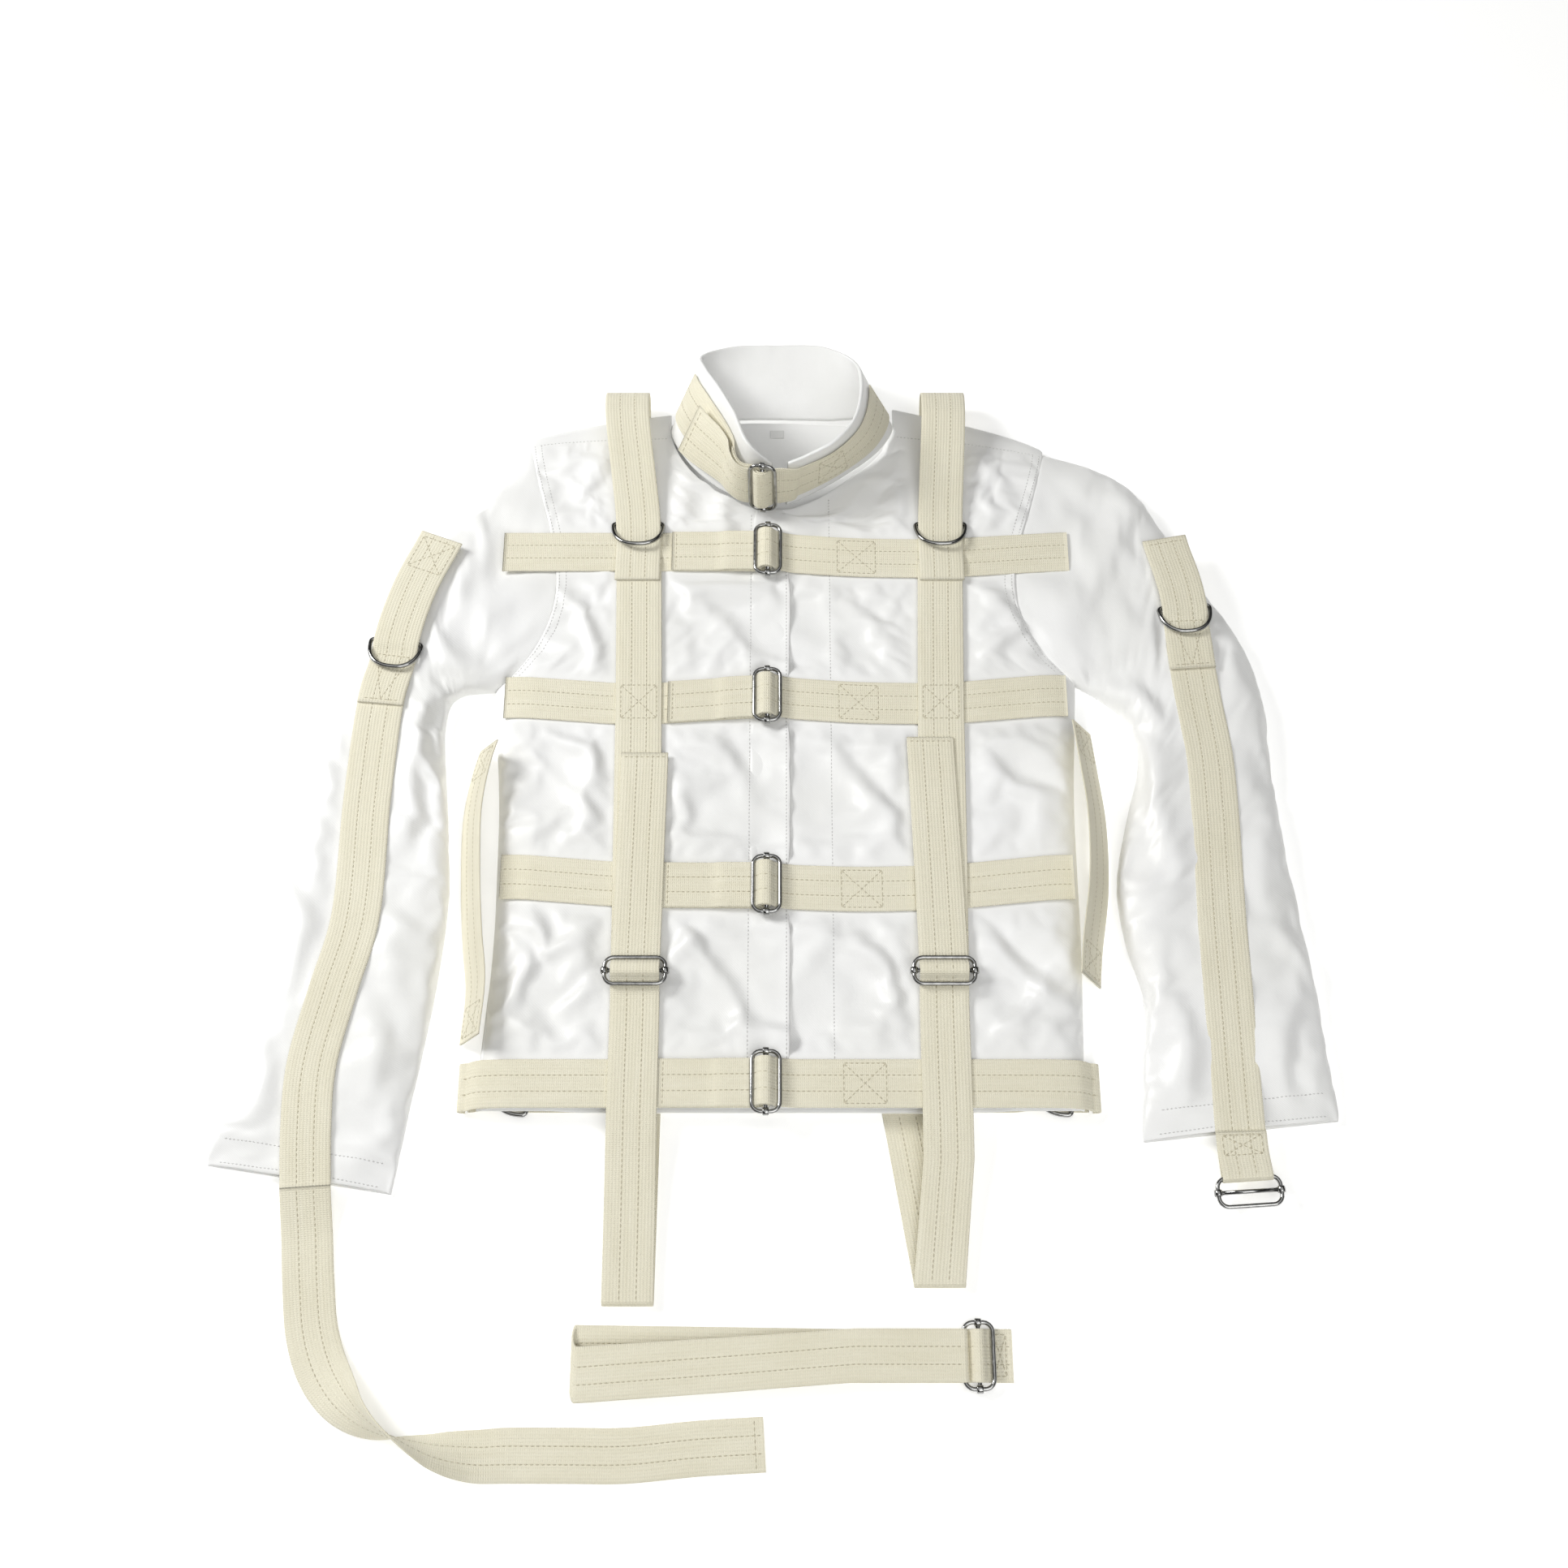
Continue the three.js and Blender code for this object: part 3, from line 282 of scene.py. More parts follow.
def webbing_material():
    """Cream cotton webbing: ribs along it, crossed by finer picks, with slubs, faint stains and painted shade in the
    weave's low places.
    """
    material, nodes, links, shader = new_material("cream_webbing")
    flat = nodes.new("ShaderNodeTexCoord").outputs["UV"]
    place = nodes.new("ShaderNodeTexCoord").outputs["Object"]
    ribs = bands(nodes, links, flat, "X", 0.0026)
    picks = bands(nodes, links, flat, "Y", 0.0017)
    weave = math_node(nodes, links, "MULTIPLY", ribs, picks)
    slubs = texture(nodes, "Noise", 240, Detail=2)
    stretch = nodes.new("ShaderNodeMapping")
    stretch.inputs["Scale"].default_value = (1, 0.08, 1)
    links.new(flat, stretch.inputs["Vector"])
    links.new(stretch.outputs["Vector"], slubs.inputs["Vector"])
    stains = texture(nodes, "Noise", 14, Detail=4)
    links.new(place, stains.inputs["Vector"])
    blend = math_node(nodes, links, "MULTIPLY_ADD", slubs.outputs["Fac"], 0.5)
    links.new(math_node(nodes, links, "MULTIPLY", stains.outputs["Fac"], 0.5), blend.node.inputs[2])
    colour = ramp(nodes, (0.80, 0.755, 0.585), (0.875, 0.835, 0.675), 0.3, 0.7)
    links.new(blend, colour.inputs["Fac"])
    # Painted shade: the colour is darkened a little where the weave is low, standing in for the shade in its grooves.
    shaded = nodes.new("ShaderNodeMix")
    shaded.data_type = "RGBA"
    shaded.blend_type = "MULTIPLY"
    shaded.inputs["Factor"].default_value = 0.08
    links.new(colour.outputs["Color"], shaded.inputs["A"])
    links.new(weave, shaded.inputs["B"])
    links.new(shaded.outputs["Result"], shader.inputs["Base Color"])
    fuzz = texture(nodes, "Noise", 900, Detail=2)
    links.new(place, fuzz.inputs["Vector"])
    rough = ramp(nodes, (0.74, 0.74, 0.74), (0.9, 0.9, 0.9))
    links.new(fuzz.outputs["Fac"], rough.inputs["Fac"])
    links.new(rough.outputs["Color"], shader.inputs["Roughness"])
    shader.inputs["Sheen Weight"].default_value = 0.2
    woven = bump(nodes, links, weave, 0.75, 0.00045)
    fuzzy = bump(nodes, links, fuzz.outputs["Fac"], 0.3, 0.0002, woven)
    links.new(fuzzy.outputs["Normal"], shader.inputs["Normal"])
    return material


def thread_material(name, low, high):
    """Sewing thread: two plies wound round each other, coloured darker than the thread itself as painted shade along
    the stitch rows.
    """
    material, nodes, links, shader = new_material(name)
    place = nodes.new("ShaderNodeTexCoord").outputs["Object"]
    plies = bands(nodes, links, place, "DIAGONAL", 0.0007)
    colour = ramp(nodes, low, high)
    links.new(plies, colour.inputs["Fac"])
    links.new(colour.outputs["Color"], shader.inputs["Base Color"])
    shader.inputs["Roughness"].default_value = 0.6
    links.new(bump(nodes, links, plies, 0.4, 0.0001).outputs["Normal"], shader.inputs["Normal"])
    return material


def wire_material():
    """Nickel plate with faint drawing marks and dulled patches, its colour painted far darker than nickel as a painted
    dark reflection.
    """
    material, nodes, links, shader = new_material("nickel_wire")
    place = nodes.new("ShaderNodeTexCoord").outputs["Object"]
    patches = texture(nodes, "Noise", 260, Detail=4)
    links.new(place, patches.inputs["Vector"])
    # Painted reflection: the base colour is kept dark so the wire looks as if it mirrored dark surroundings; the
    # patches vary it at random.
    colour = ramp(nodes, (0.27, 0.27, 0.265), (0.42, 0.42, 0.41), 0.3, 0.7)
    links.new(patches.outputs["Fac"], colour.inputs["Fac"])
    links.new(colour.outputs["Color"], shader.inputs["Base Color"])
    rough = ramp(nodes, (0.09, 0.09, 0.09), (0.24, 0.24, 0.24), 0.35, 0.75)
    links.new(patches.outputs["Fac"], rough.inputs["Fac"])
    links.new(rough.outputs["Color"], shader.inputs["Roughness"])
    shader.inputs["Metallic"].default_value = 1
    links.new(bump(nodes, links, patches.outputs["Fac"], 0.05, 0.0001).outputs["Normal"], shader.inputs["Normal"])
    return material


def label_material():
    """A blank woven label."""
    material, nodes, links, shader = new_material("label")
    place = nodes.new("ShaderNodeTexCoord").outputs["Object"]
    weft = bands(nodes, links, place, "Y", 0.0007)
    colour = ramp(nodes, (0.62, 0.62, 0.6), (0.86, 0.86, 0.84))
    links.new(weft, colour.inputs["Fac"])
    links.new(colour.outputs["Color"], shader.inputs["Base Color"])
    shader.inputs["Roughness"].default_value = 0.55
    links.new(bump(nodes, links, weft, 0.4, 0.0002).outputs["Normal"], shader.inputs["Normal"])
    return material


WHITE = cloth_material()
CREAM = webbing_material()
# Both threads are coloured darker than they are: painted shade along the stitch rows.
THREAD = thread_material("cream_thread", (0.46, 0.42, 0.3), (0.7, 0.65, 0.5))
WHITE_THREAD = thread_material("white_thread", (0.5, 0.5, 0.48), (0.74, 0.74, 0.72))
NICKEL = wire_material()
LABEL = label_material()


# ---- Camera ----
LOOK_AT = Vector((0.0065, 0.039, 0.0))
CAMERA_DISTANCE = 1.7544
ELEVATION = math.radians(65)

camera_data = bpy.data.cameras.new("camera")
camera_data.lens = 46.9
camera_data.sensor_width = 36
camera = bpy.data.objects.new("camera", camera_data)
camera.location = LOOK_AT + CAMERA_DISTANCE * Vector((0, -math.cos(ELEVATION), math.sin(ELEVATION)))
camera.rotation_euler = (math.pi / 2 - ELEVATION, 0, 0)
bpy.context.scene.collection.objects.link(camera)
bpy.context.scene.camera = camera


# ---- Straps ----
STITCH = 3.1
STITCH_GAP = 1.1
ROW_OFFSETS = (-6.6, 6.6)
EDGE_ROUND = 3
ACROSS = 8


def web_section():
    """The outline of webbing in section: (across in mm, offset in half thicknesses)."""
    half = WEB_WIDTH / 2
    inset = WEB / 2
    turn = [math.pi * (k + 1) / (EDGE_ROUND + 1) for k in range(EDGE_ROUND)]
    top = [(c, 1.0) for c in np.linspace(-half + inset, half - inset, ACROSS)]
    right = [(half - inset + inset * math.sin(a), math.cos(a)) for a in turn]
    bottom = [(c, -1.0) for c in np.linspace(half - inset, -half + inset, ACROSS)]
    left = [(-half + inset - inset * math.sin(a), -math.cos(a)) for a in turn]
    return top + right + bottom + left


SECTION = web_section()


def rounded(profile, cut=2.6, passes=2):
    """Cuts the corners of a side profile, never further than `cut` from each."""
    line = [np.array(p, float) for p in profile]
    for _ in range(passes):
        out = [line[0]]
        for before, here, after in zip(line, line[1:], line[2:]):
            for other in (before, after):
                reach = np.linalg.norm(other - here)
                out.append(here + (other - here) * min(0.3, cut / max(reach, 1e-6)))
        line = [*out, line[-1]]
        cut *= 0.45
    return line


def filled(line, spacing):
    """Adds points so that no two neighbours are further apart than `spacing`."""
    out = [line[0]]
    for a, b in zip(line, line[1:]):
        count = max(1, math.ceil(np.linalg.norm(b - a) / spacing))
        out += [lerp(a, b, k / count) for k in range(1, count + 1)]
    return np.array(out)


class Strap:
    """Webbing along a side profile of (along, height), laid by a function to points."""

    def __init__(self, profile, lay, spacing=5):
        self.lay = lay
        line = filled(rounded(profile), spacing)
        keep = np.concatenate([[True], np.linalg.norm(np.diff(line, axis=0), axis=1) > 0.05])
        self.line = line[keep]
        ways = np.gradient(self.line, axis=0)
        ways /= np.maximum(1e-9, np.linalg.norm(ways, axis=1))[:, None]
        self.normals = np.column_stack([-ways[:, 1], ways[:, 0]])
        lengths = np.linalg.norm(np.diff(self.line, axis=0), axis=1)
        self.travel = np.concatenate([[0], np.cumsum(lengths)])
        self.length = self.travel[-1]

    def point(self, travel, across, side=1, lift=0.0):
        """A point on one face (side 1 or -1), `lift` above it; across in mm."""
        read = lambda values: np.interp(travel, self.travel, values)
        a, h = read(self.line[:, 0]), read(self.line[:, 1])
        na, nh = read(self.normals[:, 0]), read(self.normals[:, 1])
        off = side * (WEB / 2 + lift)
        return np.array(self.lay(a + off * na, h + off * nh, across / WEB_WIDTH))

    def travel_at(self, a, last=False):
        """The travel at which the profile passes `a`, the first time or the last."""
        line = self.line[:, 0]
        crossing = [i for i in range(len(line) - 1) if (line[i] - a) * (line[i + 1] - a) <= 0]
        i = crossing[-1 if last else 0] if crossing else len(line) - 2
        span = line[i + 1] - line[i]
        share = (a - line[i]) / span if abs(span) > 1e-6 else 0
        return lerp(self.travel[i], self.travel[i + 1], min(1, max(0, share)))

    def body(self):
        points, uvs = [], []
        for (a, h), (na, nh), travel in zip(self.line, self.normals, self.travel):
            for across, off in SECTION:
                push = off * WEB / 2
                points.append(self.lay(a + push * na, h + push * nh, across / WEB_WIDTH))
                uvs.append((across, travel + (0 if off > 0 else 0.8)))
        count = len(SECTION)
        faces = grid_faces(len(self.line), count, closed=True)
        faces += [tuple(range(count)), tuple(range(len(points) - 1, len(points) - 1 - count, -1))]
        return points, faces, uvs


def stitch_shape(start, end, normal, width=0.55, height=0.42):
    """One stitch from start to end, sunk at both ends, as three small sections."""
    aside = unit(np.cross(end - start, normal)) * width
    up = unit(normal) * height
    points = []
    for share, size in ((0, 0.35), (0.5, 1), (1, 0.35)):
        middle = lerp(start, end, share) - up * 0.4 * (1 - size)
        points += [middle - aside * size, middle + up * size, middle + aside * size, middle - up * 0.5]
    return points


STITCH_FACES = [(r * 4 + c, r * 4 + (c + 1) % 4, r * 4 + 4 + (c + 1) % 4, r * 4 + 4 + c) for r in (0, 1) for c in range(4)]
STITCH_FACES += [(3, 2, 1, 0), (8, 9, 10, 11)]


class Sewing:
    """Stitches gathered for one piece."""

    def __init__(self):
        self.points = []
        self.faces = []

    def stitch(self, start, end, normal):
        first = len(self.points)
        self.points += stitch_shape(start, end, normal)
        self.faces += [tuple(first + i for i in face) for face in STITCH_FACES]

    def path(self, strap, corners, side=1):
        """Stitches on a strap's face along (travel, across) corners."""
        for (s0, c0), (s1, c1) in zip(corners, corners[1:]):
            length = math.hypot(s1 - s0, c1 - c0)
            count = max(1, int(length // (STITCH + STITCH_GAP)))
            for k in range(count):
                low = (k + 0.12) / count
                high = (k + 0.88) / count
                ends = [(lerp(s0, s1, t), lerp(c0, c1, t)) for t in (low, high)]
                start, end = [strap.point(s, c, side, 0.05) for s, c in ends]
                self.stitch(start, end, strap.point(*ends[0], side, 1.0) - start)

    def rows(self, strap, start=2, end=None, offsets=ROW_OFFSETS):
        """The rows that run along a whole strap, seen on both of its faces."""
        end = strap.length - 2 if end is None else end
        for offset in offsets:
            for side in (1, -1):
                self.path(strap, [(start, offset), (end, offset)], side)

    def box_x(self, strap, s0, s1, side, half=15.5):
        """A sewn box with a cross in it."""
        self.path(strap, [(s0, -half), (s1, -half), (s1, half), (s0, half), (s0, -half)], side)
        self.path(strap, [(s0, -half), (s1, half)], side)
        self.path(strap, [(s0, half), (s1, -half)], side)

    def vee(self, strap, s0, s1, side, half=15):
        """A bar with a V below it."""
        self.path(strap, [(s0, -half), (s0, half)], side)
        self.path(strap, [(s0, -half), (s1, 0), (s0, half)], side)


def add_strap(name, strap, sewing):
    points, faces, uvs = strap.body()
    first = len(points)
    slots = [0] * len(faces) + [1] * len(sewing.faces)
    faces = faces + [tuple(first + i for i in face) for face in sewing.faces]
    uvs = uvs + [(0.0, 0.0)] * len(sewing.points)
    return mesh_piece(name, [*points, *sewing.points], faces, [CREAM, THREAD], name_to_node(name), slots, uvs)


def name_to_node(name):
    return name.removesuffix("_web")


# ---- The free sleeve tail, a flat cord ----
TAIL_ROUTE = [
    (-367, -314, 14.2), (-366, -328, 9.5), (-364, -350, 3.5), (-360, -385, 1.6), (-353, -425, 1.6), (-340, -455, 6),
    (-318, -481, 15), (-288, -500, 21), (-256, -511, 14), (-225, -514, 5), (-200, -513, 1.8), (-154, -513, 1),
    (-112, -513, 1), (-58, -508, 1), (-8, -505, 1),
]
TAIL_TWIST = [(0, 0), (0.3, 0), (0.44, 0.5), (0.58, 1), (1, 1)]  # share of the half turn by share of the length
CORD_POINTS = 36

tail_line = Line(TAIL_ROUTE)


def tail_lay(a, h, across):
    share = a / tail_line.length
    way = tail_line.way(a)
    flat = unit((-way[1], way[0], 0))
    angle = math.pi * soft_along(TAIL_TWIST, share, 0.05)
    up = np.cross(way, flat)
    side = flat * math.cos(angle) + up * math.sin(angle)
    face = np.cross(way, side)
    over = max(0, a - tail_line.length)
    return tail_line.spot(a) + way * over + side * across * WEB_WIDTH + face * h


def sleeve_tail():
    strap = Strap([(a, 0) for a in steps(0, tail_line.length, 90)], tail_lay)
    sewing = Sewing()
    sewing.rows(strap)
    sewing.path(strap, [(strap.length - 7, -18), (strap.length - 7, 18)], -1)
    sewing.path(strap, [(strap.length - 7, -18), (strap.length - 7, 18)], 1)
    tail = add_strap("sleeve_tail_left_web", strap, sewing)
    route = [tail_line.spot(a) * MM for a in steps(0, tail_line.length, CORD_POINTS)]


sleeve_tail()

# ---- Round a slide buckle ----
TURN_STEPS = 9
TURN_START = -1.17
SLOT_FLAT = 4
SLOT_REACH = 8.6
SLOT_SLOPE = math.atan2(STACK - LAYER / 2 + WRAP, SLOT_REACH - SLOT_FLAT)
OUTER_WRAP = WRAP + LAYER
OUTER_STEP = LAYER * math.tan(SLOT_SLOPE / 2)
LIFT_START = 22


def round_bar(bar, height, way, radius, start, end):
    angles = steps(start, end, TURN_STEPS)
    return [(bar + way * radius * math.cos(a), height + radius * math.sin(a)) for a in angles]


def flat_run(start, end, height, near):
    way = math.copysign(1, end - start)
    first = [(start + way * d, height) for d in near[:-1]]
    return first + [(a, height) for a in steps(start + way * near[-1], end, 6)]


def folded_round(start, bar, low, near=(0,)):
    """The fixed strap: to the bar, round it, and back on itself."""
    way = math.copysign(1, bar - start)
    mid = low + WEB / 2
    height = low + BAR_HEIGHT
    parting = bar - way * SLOT_REACH
    return [
        *flat_run(start, parting, mid, near),
        *round_bar(bar, height, way, WRAP, TURN_START, math.pi / 2),
        (bar - way * SLOT_FLAT, height + WRAP),
        (parting, mid + LAYER),
        (bar - way * SEWN_FOLD, mid + LAYER),
    ]


def threaded_over(start, bar, low, tail, near=(0,)):
    """The threaded strap: over the bar and the fixed strap's fold, and down onto that strap."""
    way = math.copysign(1, bar - start)
    mid = low + WEB / 2
    upper = mid + 2 * LAYER
    height = low + BAR_HEIGHT
    return [
        *flat_run(start, bar - way * LIFT_START, mid, near),
        (bar - way * (OUTER_WRAP * math.sqrt(2) + WEB), upper),
        *round_bar(bar, height, -way, OUTER_WRAP, math.pi / 4, math.pi / 2),
        (bar + way * (SLOT_FLAT + OUTER_STEP), height + OUTER_WRAP),
        (bar + way * (SLOT_REACH + OUTER_STEP), upper),
        (bar + way * (SEWN_FOLD + 2), upper),
        *[(a, mid + LAYER) for a in steps(bar + way * (SEWN_FOLD + 8), tail, 3)],
    ]


# ---- Wire goods ----
WIRE_SIDES = 14


def wire_loop(outline, radius, sides=WIRE_SIDES):
    """Round wire along a closed flat outline in the local XY plane."""
    line = np.array(outline, float)
    ways = np.roll(line, -1, axis=0) - np.roll(line, 1, axis=0)
    ways /= np.linalg.norm(ways, axis=1)[:, None]
    points = []
    for (x, y), (wx, wy) in zip(line, ways):
        for k in range(sides):
            angle = 2 * math.pi * k / sides
            aside = radius * math.cos(angle)
            points.append((x - wy * aside, y + wx * aside, radius * math.sin(angle)))
    count = len(line)
    faces = [
        (r * sides + c, r * sides + (c + 1) % sides, (r + 1) % count * sides + (c + 1) % sides, (r + 1) % count * sides + c)
        for r in range(count)
        for c in range(sides)
    ]
    return points, faces


def frame_wire(corner=7.5):
    hx, hy = BUCKLE_DEPTH / 2, BUCKLE_SPAN / 2
    outline = []
    for sx, sy, quarter in ((1, 1, 0), (-1, 1, 1), (-1, -1, 2), (1, -1, 3)):
        for t in steps(0, 1, 8):
            angle = (quarter + t) * math.pi / 2
            x = sx * (hx - corner) + corner * math.cos(angle)
            outline.append((x, sy * (hy - corner) + corner * math.sin(angle)))
    return wire_loop(outline, WIRE / 2)


def lathe(profile, axis, centre, turns=20):
    """A ring of revolution: (radius, along) pairs about axis 0 or 1 through a centre."""
    points = []
    for k in range(turns):
        angle = 2 * math.pi * k / turns
        for radius, step in profile:
            spin = (radius * math.cos(angle), radius * math.sin(angle))
            spot = (step, spin[0], spin[1]) if axis == 0 else (spin[0], step, spin[1])
            points.append(tuple(c + s for c, s in zip(centre, spot)))
    count = len(profile)
    faces = [
        (r * count + c, r * count + (c + 1) % count, (r + 1) % turns * count + (c + 1) % count, (r + 1) % turns * count + c)
        for r in range(turns)
        for c in range(count)
    ]
    return points, faces


def bar_wire():
    """The centre bar: a rod, and an eye rolled round each end wire."""
    inner, outer, half = EYE_INNER, EYE_INNER + 1.2, 2.5
    profile = [(inner, -half), (outer - 0.4, -half), (outer, -half + 0.5), (outer, half - 0.5), (outer - 0.4, half), (inner, half)]
    reach = BUCKLE_SPAN / 2 - EYE_INNER - 0.6
    rod = [(0.01, -reach), (WIRE / 2, -reach), (WIRE / 2, reach), (0.01, reach)]
    parts = [lathe(rod, 1, (0, 0, 0))]
    parts += [lathe(profile, 0, (0, end * BUCKLE_SPAN / 2, 0)) for end in (-1, 1)]
    points, faces = [], []
    for more_points, more_faces in parts:
        first = len(points)
        points += more_points
        faces += [tuple(first + i for i in face) for face in more_faces]
    return points, faces


def ring_wire():
    """A D-ring: its straight bar along local X, its rim towards -Y."""
    swell = lambda v: math.copysign(abs(v) ** 0.82, v)
    rim = [(RING_SPAN / 2 * swell(math.cos(a)), -RING_DEPTH * swell(math.sin(a))) for a in steps(0, math.pi, 40)]
    corners = 3.4
    bar = [(x, 0) for x in np.linspace(-RING_SPAN / 2 + corners, RING_SPAN / 2 - corners, 12)]
    first = [(RING_SPAN / 2 - corners * (1 - math.sin(a)), -corners * (1 - math.cos(a))) for a in steps(0.2, 1.5, 5)]
    last = [(-x, y) for x, y in reversed(first)]
    body = [p for p in rim if p[1] < -corners]
    return wire_loop([*bar, *first, *body, *last], RING_WIRE / 2)


def placed(shape, centre, x_way, y_way):
    x = unit(x_way)
    z = unit(np.cross(x, y_way))
    y = np.cross(z, x)
    points, faces = shape
    spots = np.array(points) @ np.array([x, y, z]) + np.array(centre, float)
    return [tuple(p) for p in spots], faces


def add_wire(name, shape, centre, x_way, y_way):
    points, faces = placed(shape, centre, x_way, y_way)
    return mesh_piece(f"{name}_wire", points, faces, [NICKEL], name)


def add_buckle(name, centre, x_way, y_way):
    add_wire(f"{name}_frame", frame_wire(), centre, x_way, y_way)
    add_wire(f"{name}_bar", bar_wire(), centre, x_way, y_way)


# ---- Belts ----
BUCKLE_X = -8
SIDE_FALL = [(0, 2.8), (10, 1.2), (24, 0), (34, 0)]
BELTS = {
    "chest_belt": ([(-245, 260), (-124, 260), (-8, 260), (69, 254), (144, 253), (261, 261)], [(0, 0), (34, 0)]),
    "waist_belt": ([(-236, 115), (-124, 106), (-8, 114), (69, 108), (144, 107), (252, 117)], SIDE_FALL),
    "belly_belt": ([(-230, -53), (-124, -62), (-8, -63), (69, -66), (144, -64), (248, -53)], SIDE_FALL),
    "hem_belt": ([(-248, -232), (253, -232)], [(0, 12), (4, 7), (10, 3), (20, 1.2), (34, 0)]),
}
BOX_X = (54, 88)
BANDS = {
    "left": dict(band=[(-160, -114), (-60, -116), (106, -119), (289, -124)], shoulder=(-124, -138), tail_top=58,
                 drift=6, fold_y=-400, back=-112),
    "right": dict(band=[(-160, 136), (-60, 139), (106, 142), (289, 147)], shoulder=(147, 153), tail_top=73,
                  drift=-10, fold_y=-386, back=104),
}


def belt(name, route, fall):
    left, right = route[0][0], route[-1][0]
    near = [d for d, _ in fall]

    def lay(a, h, across):
        dip = soft_along(fall, max(0, min(a - left, right - a)), 2)
        return (a, soft_along(route, a, 22) + across * WEB_WIDTH, h - dip)

    def wrap(end, way):
        """The end's turn round the cloth's edge to the back, for the belt that goes on there."""
        if name != "hem_belt":
            return []
        half = (BELT_LOW - fall[0][1]) / 2
        low = fall[0][1] + WEB / 2 + half
        return [(end + way * 2.2 * half * math.cos(a), low + half * math.sin(a)) for a in steps(-1.57, 1.2, 8)]

    anchor = Strap(wrap(left, -1) + folded_round(left, BUCKLE_X, BELT_LOW, near), lay)
    sewing = Sewing()
    sewing.rows(anchor)
    add_strap(f"{name}_anchor_web", anchor, sewing)

    own = threaded_over(right, BUCKLE_X, BELT_LOW, BUCKLE_X - TAIL_REACH, near)
    strap = Strap(wrap(right, 1) + own, lay)
    sewing = Sewing()
    sewing.rows(strap)
    spots = [strap.travel_at(x) for x in BOX_X]
    sewing.box_x(strap, *spots, side=-1, half=16.5)
    sewing.path(strap, [(strap.length - 4, -18), (strap.length - 4, 18)], -1)
    add_strap(f"{name}_strap_web", strap, sewing)
    add_buckle(f"{name}_buckle", lay(BUCKLE_X, BELT_LOW + BAR_HEIGHT, 0), (1, 0, 0), (0, 1, 0))


for belt_name, (belt_route, belt_fall) in BELTS.items():
    belt(belt_name, belt_route, belt_fall)

# The hem belt goes on round the back, over the rear rings' rims.
REAR_RINGS = {"rear_ring_left": -199, "rear_ring_right": 236}
REAR_Y = -231
RING_RISE = RING_WIRE + RING_WIRE / 3 + GAP / 2
RIM_HUMP = [(-RING_DEPTH - 17, 0), (-RING_DEPTH - 8, 1), (-12, 1), (-4.5, 0)]


def hem_back():
    humps = [(bar + d, WEB / 2 + share * RING_RISE) for bar in REAR_RINGS.values() for d, share in RIM_HUMP]
    profile = [(-246, WEB / 2), *humps, (250, WEB / 2)]
    strap = Strap(profile, lambda a, h, across: (a, REAR_Y + across * WEB_WIDTH, h))
    sewing = Sewing()
    sewing.rows(strap)
    add_strap("hem_belt_back_web", strap, sewing)
    height = WEB + GAP + RING_WIRE / 2
    tilt = (height - RING_WIRE / 2) / RING_DEPTH
    for name, bar in REAR_RINGS.items():
        add_wire(name, ring_wire(), (bar, REAR_Y, height), (0, -1, 0), (1, 0, tilt))


hem_back()

# ---- Harness bands, crotch straps and shoulder straps ----
CROTCH_BUCKLE_Y = -140
RING_Y = 289
BAND_TOP_BELOW_RING = 38
STRAP_ENTRY = 12
CROTCH_FOLD = 3.4
SHOULDER_BAR = TORSO_TOP + GAP + RING_WIRE / 2


def ring_tilt(bar, face):
    return bar + RING_DEPTH * (face + GAP + RING_WIRE / 2 - bar) / STRAP_ENTRY


